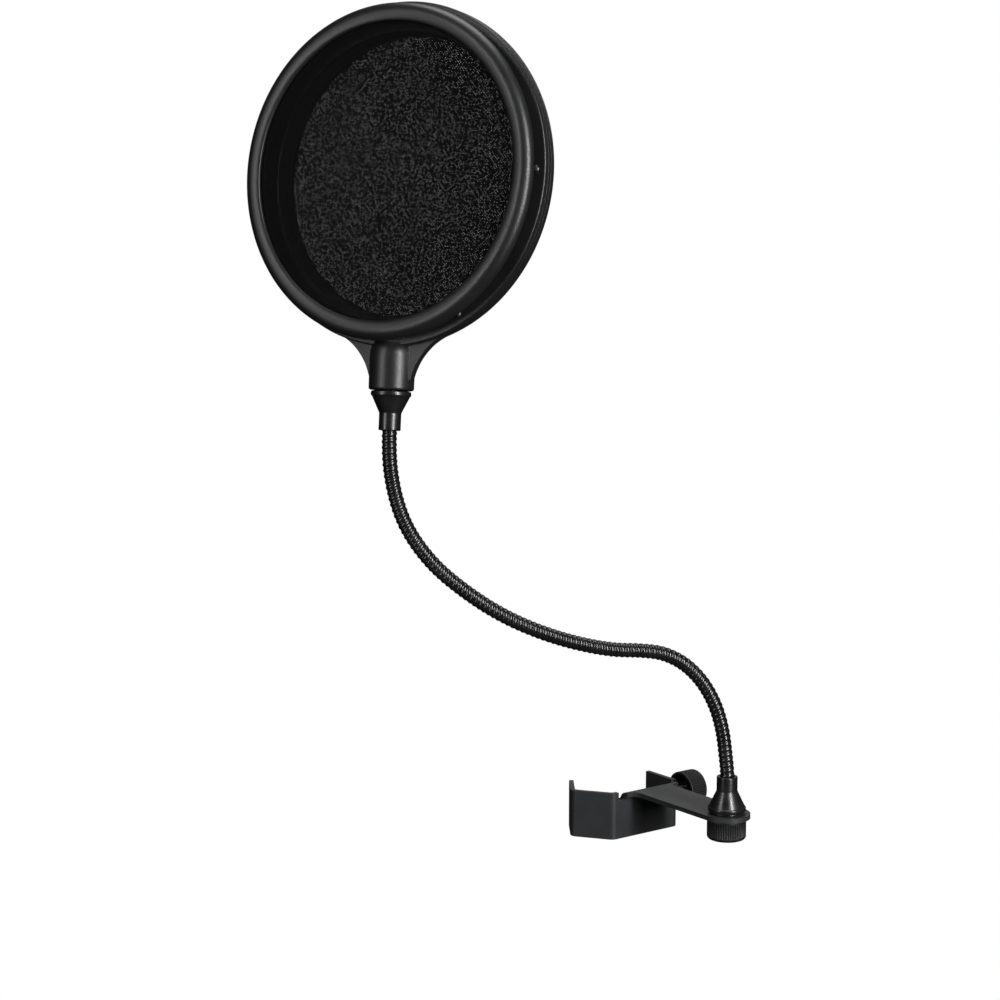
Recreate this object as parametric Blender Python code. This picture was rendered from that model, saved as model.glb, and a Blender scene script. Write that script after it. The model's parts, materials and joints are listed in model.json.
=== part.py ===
"""Dual-screen pop filter: two screens in plastic rings, a gooseneck and a microphone stand clamp.

The origin is on the axis of the stand tube that the clamp holds, at half the height of the clamp's
strip. +Z runs up the stand, and +X is the thumbscrew's axis, from the V jaw towards the knob.
"""

import math

import bmesh
import bpy
from mathutils import Euler, Matrix, Vector

GAP = 0.0003  # between pieces that touch
PAST = 0.001  # how far a cutter reaches past the face that it opens
CLEARANCE = 0.0004  # around a screw or a stud in a hole that it passes through

# The stand tube that the clamp is closed on
STAND_R = 0.0103

# Clamp bracket: one strip of steel, bent into a V jaw, a side plate and an end plate
SHEET = 0.0026
STRIP_H = 0.027
BEND_R = 0.0033  # of the strip's middle line
JAW_ANGLE = math.radians(54.3)  # between each jaw face and the thumbscrew's axis
JAW_REAR_LEG = 0.021
SIDE_PLATE_Y = -0.0192
END_PLATE_X = 0.0469
END_PLATE_TOP_Y = 0.0065

# Tab: folded outward from the top edge of the side plate
TAB_X = 0.025
TAB_W = 0.026
TAB_END_Y = -0.0867  # centre of the round end, and of the stud's hole
TAB_FOLD_R = 0.0037  # of the sheet's middle line
TAB_FLARE_R = 0.0090
TAB_TOP_Z = STRIP_H / 2
FOLD_X = (0.006, 0.044)  # the flared width that is folded
NOTCH_R = 0.0016
NOTCH_Z = 0.0101

# Thumbscrew, its nut and its swivel pad
SCREW_R = 0.0030
SCREW_NUT_AF = 0.0100
SCREW_NUT_H = 0.0050
PAD_R = 0.0070
PAD_T = 0.0030
PAD_SOCKET_L = 0.0030
PAD_SOCKET_WALL = 0.0020
PAD_FLOOR_T = 0.0018
KNOB_R = 0.0108
KNOB_NEAR_X = 0.0670
KNOB_T = 0.0125
KNOB_RECESS_R = 0.0088
KNOB_RECESS_D = 0.0070

# Stud, nut and washers at the tab
STUD_R = 0.0040
TAB_NUT_R = 0.0108
TAB_NUT_TOP_Z = 0.0103
TAB_NUT_BOTTOM_Z = -0.0010
TAB_WASHER_R = 0.0075
TAB_NUT_CAP_T = 0.0020
TAB_WASHER_T = 0.0011
COLLAR_WASHER_R = 0.0090
COLLAR_Z = 0.0147  # the wide end of the lower collar

# End collar of the gooseneck: a rim, a cone and a ferrule
LOWER_COLLAR_L = 0.0195
UPPER_COLLAR_L = 0.0204
COLLAR_R = 0.0105
COLLAR_RIM_H = 0.0024
COLLAR_CONE_H = 0.0090
FERRULE_R = 0.00575
STUD_IN_COLLAR = 0.0085

# Gooseneck
GOOSENECK_R = 0.00395
GOOSENECK_IN_FERRULE = 0.0070
SEGMENTS = 8
SEGMENT_GAP = 0.0017
# The points that it passes through between its two collars, from the base up to the head
ROUTE = (
    (0.0239, -0.0861, 0.0470),
    (0.0221, -0.0854, 0.0600),
    (0.0176, -0.0835, 0.0755),
    (0.0105, -0.0804, 0.0886),
    (0.0014, -0.0762, 0.0985),
    (-0.0095, -0.0715, 0.1046),
    (-0.0210, -0.0665, 0.1068),
    (-0.0340, -0.0614, 0.1080),
    (-0.0500, -0.0550, 0.1116),
    (-0.0700, -0.0470, 0.1186),
    (-0.0909, -0.0380, 0.1292),
    (-0.1105, -0.0299, 0.1434),
    (-0.1274, -0.0222, 0.1601),
    (-0.1397, -0.0162, 0.1806),
    (-0.1454, -0.0124, 0.2049),
)

# Head: its own frame has the ring axis along Y, from the front ring to the rear frame, and the
# neck along -Z. Its origin is on the ring axis, in the seam between the halves of the rear frame.
HEAD_ORIGIN = (-0.13205, -0.00255, 0.36055)
HEAD_YAW = math.radians(-66.5)
HEAD_TILT = math.radians(-7.8)
HEAD_ROLL = math.radians(-1.65)
FRONT_RING_R = 0.0864
REAR_RING_R = 0.0887
RING_TURNS = 64

FRONT_CROWN_Y = -0.0188
FRONT_CROWN_R = 0.0811
FRONT_WIDE_Y = -0.0138
FRONT_BACK_Y = -0.0127
FRONT_LIP_Y = -0.0174
FRONT_OPENING_R = 0.0766
FRONT_SEAT_R = 0.0792
FRONT_SEAT_Y = -0.0162

REAR_FRONT_Y = -0.0060
REAR_WIDE_Y = 0.0004
REAR_CROWN_Y = 0.0104
REAR_CROWN_R = 0.0797
REAR_OPENING_R = 0.0730
REAR_LIP_Y = 0.0088
REAR_SEAT_R = 0.0758
REAR_SEAT_Y = 0.0080

SCREEN_T = 0.0004
HOOP_W = 0.0021

PIN_COUNT = 6
PIN_R = 0.0012
PIN_CIRCLE_R = 0.0832
PIN_IN_SOCKET = 0.0022
SOCKET_SLACK = 0.0003

SCREW_CIRCLE_R = 0.0817
FRAME_SCREW_Y = (-0.0040, 0.0078)  # its tip and its head's seat
SCREW_ANGLES = (-30.0, 30.0, 90.0, 150.0, 210.0)  # degrees; the neck takes the sixth place
SMALL_SCREW_R = 0.0012
SMALL_SCREW_HEAD_R = 0.0024
SMALL_SCREW_HEAD_H = 0.0016

# Neck: a web that flares out of the ring, and a boss that holds the nut of the upper collar
WEB_T = 0.0020  # of each half
WEB_FLARE_R = 0.0340
WEB_FLARE_X = 0.0455
BOSS_R = 0.0118
BOSS_BOTTOM_Z = -0.1112
BOSS_DOME_Z = -0.0935
BOSS_EDGE_R = 0.0012
NECK_NUT_AF = 0.0130
NECK_NUT_Z = (-0.1092, -0.1027)
NECK_POCKET_R = 0.0079
NECK_STUD_TOP_Z = -0.0935
NECK_SCREW_Z = -0.0868
NECK_SCREW_Y = (-0.0040, 0.0050)
UPPER_COLLAR_Z = -0.1116


# ---------------------------------------------------------------- materials and objects


def material(name, color, roughness, metallic=0.0):
    found = bpy.data.materials.get(name)
    if found:
        return found
    made = bpy.data.materials.new(name)
    made.use_nodes = True
    shader = made.node_tree.nodes["Principled BSDF"]
    shader.inputs["Base Color"].default_value = (*color, 1.0)
    shader.inputs["Roughness"].default_value = roughness
    shader.inputs["Metallic"].default_value = metallic
    return made


def ring_plastic():
    return material("ring_plastic", (0.022, 0.022, 0.023), 0.52)


def knob_plastic():
    return material("knob_plastic", (0.020, 0.020, 0.021), 0.48)


def black_nylon():
    return material("black_nylon", (0.010, 0.010, 0.011), 0.75)


def black_metal():
    return material("black_metal", (0.018, 0.018, 0.020), 0.28, 0.6)


def powder_coat():
    return material("powder_coat", (0.030, 0.031, 0.034), 0.45, 0.2)


def screw_steel():
    return material("screw_steel", (0.060, 0.060, 0.065), 0.32, 0.9)


def clear_scene():
    for obj in list(bpy.data.objects):
        bpy.data.objects.remove(obj, do_unlink=True)


def empty(name, matrix):
    made = bpy.data.objects.new(name, None)
    bpy.context.scene.collection.objects.link(made)
    made.matrix_world = matrix
    return made


def finish_object(name, bm, slot, parent=None, sharp=30.0):
    """An object with this mesh, in its parent's frame, with its faces pointing out."""
    bmesh.ops.recalc_face_normals(bm, faces=bm.faces)
    mesh = bpy.data.meshes.new(name)
    bm.to_mesh(mesh)
    bm.free()
    mesh.shade_smooth()
    mesh.set_sharp_from_angle(angle=math.radians(sharp))
    made = bpy.data.objects.new(name, mesh)
    bpy.context.scene.collection.objects.link(made)
    if slot:
        mesh.materials.append(slot)
    made.parent = parent
    return made


def boolean(target, other, operation):
    """Cuts another object from the target, or joins it on, and hides the other one."""
    other.hide_render = True
    other.display_type = "WIRE"
    modifier = target.modifiers.new(other.name, "BOOLEAN")
    modifier.operation = operation
    modifier.object = other


def cut(target, *cutters):
    for cutter in cutters:
        boolean(target, cutter, "DIFFERENCE")


def join(target, *others):
    for other in others:
        boolean(target, other, "UNION")


# ---------------------------------------------------------------- shapes


def along(axis, radius, angle, height):
    """A point at this radius, angle and height about the X, Y or Z axis."""
    a, b = radius * math.cos(angle), radius * math.sin(angle)
    return {"X": (height, a, b), "Y": (a, height, b), "Z": (a, b, height)}[axis]


def lathe_into(bm, profile, turns, axis="Z", centre=(0.0, 0.0, 0.0)):
    """Turns a profile of (radius, height) points about an axis.

    One that doesn't start and end on the axis is a closed loop.
    """
    rings = []
    for radius, height in profile:
        count = 1 if radius == 0 else turns
        rings.append(
            [
                bm.verts.new(
                    Vector(along(axis, radius, 2 * math.pi * i / turns, height))
                    + Vector(centre)
                )
                for i in range(count)
            ]
        )
    pairs = list(zip(rings, rings[1:]))
    if profile[0][0] > 0:
        pairs.append((rings[-1], rings[0]))
    for low, high in pairs:
        for i in range(turns):
            j = (i + 1) % turns
            corners = [
                low[i % len(low)],
                low[j % len(low)],
                high[j % len(high)],
                high[i % len(high)],
            ]
            bm.faces.new(list(dict.fromkeys(corners)))


def lathe(name, profile, turns, slot, parent=None, axis="Z", centre=(0.0, 0.0, 0.0)):
    bm = bmesh.new()
    lathe_into(bm, profile, turns, axis, centre)
    return finish_object(name, bm, slot, parent)


def rod_profile(radius, low, high, chamfer=0.0):
    if chamfer == 0:
        return [(0, low), (radius, low), (radius, high), (0, high)]
    return [
        (0, low),
        (radius - chamfer, low),
        (radius, low + chamfer),
        (radius, high - chamfer),
        (radius - chamfer, high),
        (0, high),
    ]


def prism_into(bm, outline, low, high, axis="Z"):
    """Extrudes an outline of points along an axis: (x, y) for Z, (x, z) for Y, (y, z) for X."""

    def corner(point, height):
        a, b = point
        return {"X": (height, a, b), "Y": (a, height, b), "Z": (a, b, height)}[axis]

    lower = [bm.verts.new(corner(p, low)) for p in outline]
    upper = [bm.verts.new(corner(p, high)) for p in outline]
    bm.faces.new(lower)
    bm.faces.new(upper)
    for i in range(len(outline)):
        j = (i + 1) % len(outline)
        bm.faces.new((lower[i], lower[j], upper[j], upper[i]))


def prism(name, outline, low, high, slot=None, parent=None, axis="Z"):
    bm = bmesh.new()
    prism_into(bm, outline, low, high, axis)
    return finish_object(name, bm, slot, parent)


def rectangle(x, y):
    """The outline of a rectangle between two pairs of coordinates."""
    return [(x[0], y[0]), (x[1], y[0]), (x[1], y[1]), (x[0], y[1])]


def arc(centre, radius, start, end, steps):
    """Points on an arc, in degrees, both ends included."""
    angles = [math.radians(start + (end - start) * i / steps) for i in range(steps + 1)]
    return [
        (centre[0] + radius * math.cos(a), centre[1] + radius * math.sin(a))
        for a in angles
    ]


def quarter(centre, half_width, half_height, start, end, steps):
    """Points on an elliptic arc, in degrees, both ends included."""
    angles = [math.radians(start + (end - start) * i / steps) for i in range(steps + 1)]
    return [
        (centre[0] + half_width * math.cos(a), centre[1] + half_height * math.sin(a))
        for a in angles
    ]


def hexagon(across_flats):
    radius = across_flats / math.sqrt(3)
    return [
        (
            radius * math.cos(math.radians(60 * i)),
            radius * math.sin(math.radians(60 * i)),
        )
        for i in range(6)
    ]


def rounded_path(points, radius, steps=4):
    """A line through these 2-D points, with each inner corner rounded to the radius."""
    path = [Vector(points[0])]
    for before, here, after in zip(points, points[1:], points[2:]):
        here = Vector(here)
        back = (Vector(before) - here).normalized()
        on = (Vector(after) - here).normalized()
        half = back.angle(on) / 2
        start = here + back * (radius / math.tan(half))
        end = here + on * (radius / math.tan(half))
        centre = here + (back + on).normalized() * (radius / math.sin(half))
        first, last = start - centre, end - centre
        turn = first.angle_signed(last)
        for i in range(steps + 1):
            spoke = first.copy()
            spoke.rotate(Matrix.Rotation(-turn * i / steps, 2))
            path.append(centre + spoke)
    path.append(Vector(points[-1]))
    return path


def sheet_outline(path, thickness):
    """The outline of a bent sheet of this thickness around its middle line."""
    left, right = [], []
    for i, here in enumerate(path):
        run = (path[min(i + 1, len(path) - 1)] - path[max(i - 1, 0)]).normalized()
        side = Vector((-run.y, run.x)) * (thickness / 2)
        left.append(here + side)
        right.append(here - side)
    return [tuple(p) for p in left + right[::-1]]


# ---------------------------------------------------------------- clamp


def strip_path():
    """The strip's middle line: rear jaw leg, apex, side plate and end plate."""
    apex_x = -(STAND_R + SHEET / 2) / math.sin(JAW_ANGLE)
    along_jaw = Vector((math.cos(JAW_ANGLE), math.sin(JAW_ANGLE)))
    rear_end = Vector((apex_x, 0)) + along_jaw * JAW_REAR_LEG
    front_bend_x = apex_x - SIDE_PLATE_Y / math.tan(JAW_ANGLE)
    return rounded_path(
        [
            tuple(rear_end),
            (apex_x, 0),
            (front_bend_x, SIDE_PLATE_Y),
            (END_PLATE_X, SIDE_PLATE_Y),
            (END_PLATE_X, END_PLATE_TOP_Y),
        ],
        BEND_R,
    )


def tab_outline():
    """The flat tab from above: two flares at the fold, straight sides and a round end."""
    left, right = TAB_X - TAB_W / 2, TAB_X + TAB_W / 2
    fold_y = SIDE_PLATE_Y - TAB_FOLD_R - GAP
    flare_y = SIDE_PLATE_Y - SHEET / 2 - TAB_FLARE_R
    reach = math.degrees(math.acos((fold_y - flare_y) / TAB_FLARE_R))
    near = arc((left - TAB_FLARE_R, flare_y), TAB_FLARE_R, 90 - reach, 0, 5)
    far = arc((right + TAB_FLARE_R, flare_y), TAB_FLARE_R, 180, 90 + reach, 5)
    end = arc((TAB_X, TAB_END_Y), TAB_W / 2, 180, 360, 16)
    return near + end + far


def fold_outline():
    """The fold's section across the tab, from the side plate up and over into the tab."""
    tab_z = TAB_TOP_Z - SHEET / 2
    path = rounded_path(
        [
            (SIDE_PLATE_Y, NOTCH_Z - 2 * NOTCH_R),
            (SIDE_PLATE_Y, tab_z),
            (SIDE_PLATE_Y - 0.0050, tab_z),
        ],
        TAB_FOLD_R,
    )
    return sheet_outline(path, SHEET)


def notch_outline(x):
    """A relief slot at one end of the fold, with a round foot."""
    foot = arc((x, NOTCH_Z), NOTCH_R, 180, 360, 8)
    return foot + [(x + NOTCH_R, STRIP_H), (x - NOTCH_R, STRIP_H)]


def clamp_bracket():
    half = STRIP_H / 2
    strip = prism(
        "clamp_bracket",
        sheet_outline(strip_path(), SHEET),
        -half,
        half,
        powder_coat(),
    )
    plate_y = (SIDE_PLATE_Y - SHEET, SIDE_PLATE_Y + SHEET)
    window_z = (TAB_TOP_Z - TAB_FOLD_R - SHEET / 2, STRIP_H)
    window = prism("fold_window", rectangle(FOLD_X, plate_y), *window_z)
    fold = prism("tab_fold", fold_outline(), *FOLD_X, axis="X")
    tab = prism("tab_plate", tab_outline(), TAB_TOP_Z - SHEET, TAB_TOP_Z)
    notches = [
        prism(f"notch_{side}", notch_outline(x), *plate_y, axis="Y")
        for side, x in zip(("near", "far"), (FOLD_X[0] - NOTCH_R, FOLD_X[1] + NOTCH_R))
    ]
    stud_hole = lathe(
        "stud_hole",
        rod_profile(STUD_R + CLEARANCE, 0, STRIP_H),
        24,
        None,
        centre=(TAB_X, TAB_END_Y, 0),
    )
    screw_hole = lathe(
        "screw_hole",
        rod_profile(SCREW_R + CLEARANCE, END_PLATE_X - SHEET, END_PLATE_X + SHEET),
        16,
        None,
        axis="X",
    )
    cut(strip, window)
    join(strip, fold, tab)
    cut(strip, *notches, stud_hole, screw_hole)


def hex_nut(name, across_flats, low, high, bore_r, slot, parent=None, axis="Z"):
    nut = prism(name, hexagon(across_flats), low, high, slot, parent, axis)
    bore = rod_profile(bore_r, low - GAP, high + GAP)
    cut(nut, lathe(f"{name}_bore", bore, 16, None, parent, axis))
    return nut


def clamp_nut():
    start = END_PLATE_X + SHEET / 2 + GAP
    hex_nut(
        "clamp_nut",
        SCREW_NUT_AF,
        start,
        start + SCREW_NUT_H,
        SCREW_R + GAP,
        screw_steel(),
        axis="X",
    )


def pressure_pad():
    back = STAND_R + PAD_T
    socket_end = back + PAD_SOCKET_L
    socket_floor = STAND_R + PAD_FLOOR_T
    lathe(
        "pressure_pad",
        [
            (0, STAND_R),
            (PAD_R - 0.0008, STAND_R),
            (PAD_R, STAND_R + 0.0008),
            (PAD_R, back),
            (SCREW_R + PAD_SOCKET_WALL, back),
            (SCREW_R + PAD_SOCKET_WALL, socket_end),
            (SCREW_R + GAP, socket_end),
            (SCREW_R + GAP, socket_floor),
            (0, socket_floor),
        ],
        24,
        knob_plastic(),
        axis="X",
    )


def thumbscrew():
    tip = STAND_R + PAD_FLOOR_T + GAP
    web_x = KNOB_NEAR_X + KNOB_RECESS_D
    far_x = KNOB_NEAR_X + KNOB_T
    lathe(
        "clamp_screw",
        rod_profile(SCREW_R, tip, web_x + 0.0032, 0.0005),
        16,
        screw_steel(),
        axis="X",
    )
    lathe("clamp_knob", knob_profile(web_x, far_x), 40, knob_plastic(), axis="X")


def knob_profile(web_x, far_x):
    """The thumbscrew knob: a blind socket for the screw in the floor of a deep recess."""
    socket_end = web_x + 0.0035
    return [
        (0, socket_end),
        (SCREW_R + GAP, socket_end),
        (SCREW_R + GAP, web_x),
        (KNOB_RECESS_R, web_x),
        (KNOB_RECESS_R, KNOB_NEAR_X),
        (KNOB_R - 0.0006, KNOB_NEAR_X),
        (KNOB_R, KNOB_NEAR_X + 0.0006),
        (KNOB_R, far_x - 0.0015),
        (KNOB_R - 0.0015, far_x),
        (0, far_x),
    ]


# ---------------------------------------------------------------- gooseneck and its collars


def collar(name, frame, length):
    """One end collar. In its frame the wide end is at the origin and the ferrule is up +Z."""
    cone_z = COLLAR_RIM_H + COLLAR_CONE_H
    stud_bore = (STUD_R + GAP, STUD_IN_COLLAR + GAP)
    neck_bore = (GOOSENECK_R + GAP, length - GOOSENECK_IN_FERRULE - GAP)
    outside = [
        (COLLAR_R - 0.0008, 0),
        (COLLAR_R, 0.0008),
        (COLLAR_R, COLLAR_RIM_H - 0.0006),
        (COLLAR_R - 0.0003, COLLAR_RIM_H),
        (FERRULE_R, cone_z),
        (FERRULE_R, length - 0.0006),
        (FERRULE_R - 0.0006, length),
    ]
    body = lathe(
        name, [(0, 0), *outside, (0, length)], 32, black_metal(), parent=frame
    )
    cut(
        body,
        lathe(
            f"{name}_stud_bore",
            rod_profile(stud_bore[0], -PAST, stud_bore[1]),
            16,
            None,
            frame,
        ),
        lathe(
            f"{name}_neck_bore",
            rod_profile(neck_bore[0], neck_bore[1], length + PAST),
            16,
            None,
            frame,
        ),
    )


def stud(name, frame, out):
    """A threaded stud, from inside a collar to this far out of its wide end."""
    lathe(
        name,
        rod_profile(STUD_R, -out, STUD_IN_COLLAR, 0.0004),
        20,
        screw_steel(),
        parent=frame,
    )


def neck_route(start, end, start_run, end_run):
    """Close points on a smooth curve through the route, by cubic Hermite pieces."""
    points = [
        Vector(start),
        Vector(start) + Vector(start_run) * GOOSENECK_IN_FERRULE,
        *(Vector(p) for p in ROUTE),
        Vector(end) - Vector(end_run) * GOOSENECK_IN_FERRULE,
        Vector(end),
    ]
    steps = [(b - a).length for a, b in zip(points, points[1:])]
    slopes = [Vector(start_run)]
    for before, here, after, d0, d1 in zip(
        points, points[1:], points[2:], steps, steps[1:]
    ):
        into, out = (here - before) / d0, (after - here) / d1
        slopes.append((into * d1 + out * d0) / (d0 + d1))
    slopes.append(Vector(end_run))
    slopes[1], slopes[-2] = Vector(start_run), Vector(end_run)
    fine = []
    for a, b, m0, m1, d in zip(points, points[1:], slopes, slopes[1:], steps):
        for i in range(24):
            t = i / 24
            fine.append(
                a * (2 * t**3 - 3 * t**2 + 1)
                + m0 * (d * (t**3 - 2 * t**2 + t))
                + b * (3 * t**2 - 2 * t**3)
                + m1 * (d * (t**3 - t**2))
            )
    fine.append(points[-1])
    return fine


def resample(fine, first, last, count):
    """Evenly spaced points and tangents on a fine line between two distances along it."""
    reach = [0.0]
    for a, b in zip(fine, fine[1:]):
        reach.append(reach[-1] + (b - a).length)
    found = []
    k = 0
    for i in range(count):
        want = first + (last - first) * i / (count - 1)
        while k < len(fine) - 2 and reach[k + 1] < want:
            k += 1
        run = fine[k + 1] - fine[k]
        found.append(
            (fine[k] + run * ((want - reach[k]) / run.length), run.normalized())
        )
    return found


def route_length(fine):
    return sum((b - a).length for a, b in zip(fine, fine[1:]))


def tube_into(bm, stations, radius, sides):
    """A capped tube through (point, tangent) stations, its rings carried along untwisted."""
    side = stations[0][1].orthogonal().normalized()
    rings = []
    for point, run in stations:
        side = (side - run * side.dot(run)).normalized()
        up = run.cross(side)
        rings.append(
            [
                bm.verts.new(
                    point
                    + side * (radius * math.cos(2 * math.pi * i / sides))
                    + up * (radius * math.sin(2 * math.pi * i / sides))
                )
                for i in range(sides)
            ]
        )
    for low, high in zip(rings, rings[1:]):
        for i in range(sides):
            j = (i + 1) % sides
            bm.faces.new((low[i], low[j], high[j], high[i]))
    bm.faces.new(rings[0])
    bm.faces.new(rings[-1])


def gooseneck(base_frame, upper_frame):
    """The gooseneck's segments, from the base to the head, each a stretch between two bends."""
    start = base_frame @ Vector((0, 0, LOWER_COLLAR_L - GOOSENECK_IN_FERRULE))
    end = upper_frame @ Vector((0, 0, UPPER_COLLAR_L - GOOSENECK_IN_FERRULE))
    start_run = base_frame.to_3x3() @ Vector((0, 0, 1))
    end_run = upper_frame.to_3x3() @ Vector((0, 0, -1))
    fine = neck_route(start, end, start_run, end_run)
    length = route_length(fine)
    bends = [length * i / SEGMENTS for i in range(SEGMENTS + 1)]
    for i, (first, last) in enumerate(zip(bends, bends[1:])):
        first += SEGMENT_GAP / 2 if i > 0 else 0
        last -= SEGMENT_GAP / 2 if i < SEGMENTS - 1 else 0
        bm = bmesh.new()
        tube_into(bm, resample(fine, first, last, 8), GOOSENECK_R, 12)
        made = finish_object(f"gooseneck_{i + 1}", bm, black_metal())
        joint = resample(fine, bends[i], bends[i + 1], 2)[0][0]
        made.data.transform(Matrix.Translation(-joint))
        made.location = joint


def tab_fastening(frame):
    """Washer above the tab, washer and nut below it, in a frame on the stud's axis at height 0."""
    lathe(
        "collar_washer",
        washer_profile(
            COLLAR_WASHER_R, STUD_R + GAP, TAB_TOP_Z + GAP, COLLAR_Z - GAP
        ),
        32,
        black_metal(),
        frame,
    )
    under = TAB_TOP_Z - SHEET - GAP
    lathe(
        "tab_washer",
        washer_profile(TAB_WASHER_R, STUD_R + GAP, under - TAB_WASHER_T, under),
        28,
        screw_steel(),
        frame,
    )
    recess_floor = under - TAB_WASHER_T - GAP
    bore_end = TAB_NUT_BOTTOM_Z + TAB_NUT_CAP_T
    lathe(
        "tab_nut",
        [
            (0, TAB_NUT_BOTTOM_Z),
            (TAB_NUT_R - 0.0022, TAB_NUT_BOTTOM_Z),
            (TAB_NUT_R - 0.0006, TAB_NUT_BOTTOM_Z + 0.0007),
            (TAB_NUT_R, TAB_NUT_BOTTOM_Z + 0.0022),
            (TAB_NUT_R, TAB_NUT_TOP_Z - 0.0004),
            (TAB_NUT_R - 0.0004, TAB_NUT_TOP_Z),
            (TAB_WASHER_R + GAP, TAB_NUT_TOP_Z),
            (TAB_WASHER_R + GAP, recess_floor),
            (STUD_R + GAP, recess_floor),
            (STUD_R + GAP, bore_end),
            (0, bore_end),
        ],
        40,
        knob_plastic(),
        frame,
    )


def washer_profile(outer, inner, low, high):
    return [(outer, low), (outer, high), (inner, high), (inner, low)]


# ---------------------------------------------------------------- head


def front_ring(head):
    """A bullnose ring: its front curves back further outside than at the lip of its opening."""
    outer = quarter(
        (FRONT_CROWN_R, FRONT_WIDE_Y),
        FRONT_RING_R - FRONT_CROWN_R,
        FRONT_WIDE_Y - FRONT_CROWN_Y,
        0,
        -90,
        6,
    )
    inner = quarter(
        (FRONT_CROWN_R, FRONT_LIP_Y),
        FRONT_CROWN_R - FRONT_OPENING_R,
        FRONT_LIP_Y - FRONT_CROWN_Y,
        -90,
        -180,
        4,
    )
    profile = [
        (FRONT_RING_R - (FRONT_BACK_Y - FRONT_WIDE_Y), FRONT_BACK_Y),
        *outer,
        *inner[1:],
        (FRONT_OPENING_R, FRONT_SEAT_Y),
        (FRONT_SEAT_R, FRONT_SEAT_Y),
        (FRONT_SEAT_R, FRONT_BACK_Y),
    ]
    ring = lathe(
        "front_ring", profile, RING_TURNS, ring_plastic(), parent=head, axis="Y"
    )
    cut(ring, pin_sockets("front_sockets", head, FRONT_BACK_Y, -1))


def pin_places():
    return [
        along("Y", PIN_CIRCLE_R, 2 * math.pi * i / PIN_COUNT, 0)
        for i in range(PIN_COUNT)
    ]


def pin_sockets(name, head, face_y, into):
    """Six blind holes for the spacer pins, from a face inwards to the side 1 or -1."""
    depth = PIN_IN_SOCKET + SOCKET_SLACK
    ends = sorted((face_y - into * PAST, face_y + into * depth))
    bm = bmesh.new()
    for place in pin_places():
        lathe_into(bm, rod_profile(PIN_R + SOCKET_SLACK, *ends), 10, "Y", place)
    return finish_object(name, bm, None, head)


def spacer_pins(head):
    ends = (FRONT_BACK_Y - PIN_IN_SOCKET, REAR_FRONT_Y + PIN_IN_SOCKET)
    for i, place in enumerate(pin_places()):
        lathe(
            f"spacer_pin_{i + 1}",
            rod_profile(PIN_R, *ends),
            10,
            ring_plastic(),
            head,
            "Y",
            place,
        )


def screens(head):
    """Each nylon screen lies on its ring's seat, and a hoop holds it there."""
    for end, seat_r, seat_y, hoop_end in (
        ("front", FRONT_SEAT_R, FRONT_SEAT_Y, FRONT_BACK_Y - GAP),
        ("rear", REAR_SEAT_R, REAR_SEAT_Y, GAP),
    ):
        side = 1 if hoop_end > seat_y else -1
        near = seat_y + side * GAP
        far = near + side * SCREEN_T
        outer = seat_r - GAP
        lathe(
            f"{end}_screen",
            rod_profile(outer, *sorted((near, far))),
            RING_TURNS,
            black_nylon(),
            head,
            "Y",
        )
        hoop = sorted((far + side * GAP, hoop_end))
        lathe(
            f"{end}_screen_hoop",
            washer_profile(outer, outer - HOOP_W, *hoop),
            RING_TURNS,
            ring_plastic(),
            head,
            "Y",
        )


def web_outline():
    """The web from the front: two flares leave the ring and end inside the sides of the boss."""
    flare_z = -math.sqrt((REAR_RING_R + WEB_FLARE_R) ** 2 - WEB_FLARE_X**2)
    on_ring = math.degrees(math.atan2(-flare_z, -WEB_FLARE_X))
    bottom_z = BOSS_BOTTOM_Z + 2 * BOSS_EDGE_R
    foot = math.degrees(math.asin((bottom_z - flare_z) / WEB_FLARE_R))
    right = arc((WEB_FLARE_X, flare_z), WEB_FLARE_R, on_ring, 180 - foot, 8)
    left = [(-x, z) for x, z in right[::-1]]
    inside = (REAR_RING_R + REAR_SEAT_R) / 2
    middle = math.degrees(math.atan2(flare_z, WEB_FLARE_X))
    top = arc((0, 0), inside, -180 - middle, middle, 8)
    return right + left + top


def boss(name, head):
    """The whole round boss with its domed top. Each half of the frame keeps its own side."""
    dome = quarter((0, BOSS_DOME_Z), BOSS_R, BOSS_R, 0, 90, 6)
    profile = [
        (0, BOSS_BOTTOM_Z),
        (BOSS_R - BOSS_EDGE_R, BOSS_BOTTOM_Z),
        (BOSS_R, BOSS_BOTTOM_Z + BOSS_EDGE_R),
        *dome[:-1],
        (0, BOSS_DOME_Z + BOSS_R),
    ]
    return lathe(name, profile, 28, None, head)


def beyond_seam(name, head, side):
    """A block over the whole head, from this half's face in the seam out to the side 1 or -1."""
    reach = 1.2 * REAR_RING_R
    ends = sorted((side * reach, -side * GAP / 2))
    block = rectangle((-reach, reach), (BOSS_BOTTOM_Z * 2, reach))
    return prism(name, block, *ends, None, head, axis="Y")


def neck_cutters(tag, head):
    """The hollow for the neck nut, and the way in for the upper collar's stud."""
    pocket = (NECK_NUT_Z[0] - GAP, NECK_NUT_Z[1] + GAP)
    way = (BOSS_BOTTOM_Z - PAST, NECK_STUD_TOP_Z + PAST)
    return (
        lathe(
            f"nut_pocket_{tag}", rod_profile(NECK_POCKET_R, *pocket), 16, None, head
        ),
        lathe(f"stud_way_{tag}", rod_profile(STUD_R + CLEARANCE, *way), 16, None, head),
    )


def screw_places():
    """(name, x, z, y of the tip, y of the head's seat) of each small screw."""
    places = []
    for i, angle in enumerate(SCREW_ANGLES):
        x, _, z = along("Y", SCREW_CIRCLE_R, math.radians(angle), 0)
        places.append((f"frame_screw_{i + 1}", x, z, *FRAME_SCREW_Y))
    return [*places, ("neck_screw", 0, NECK_SCREW_Z, *NECK_SCREW_Y)]


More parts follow.
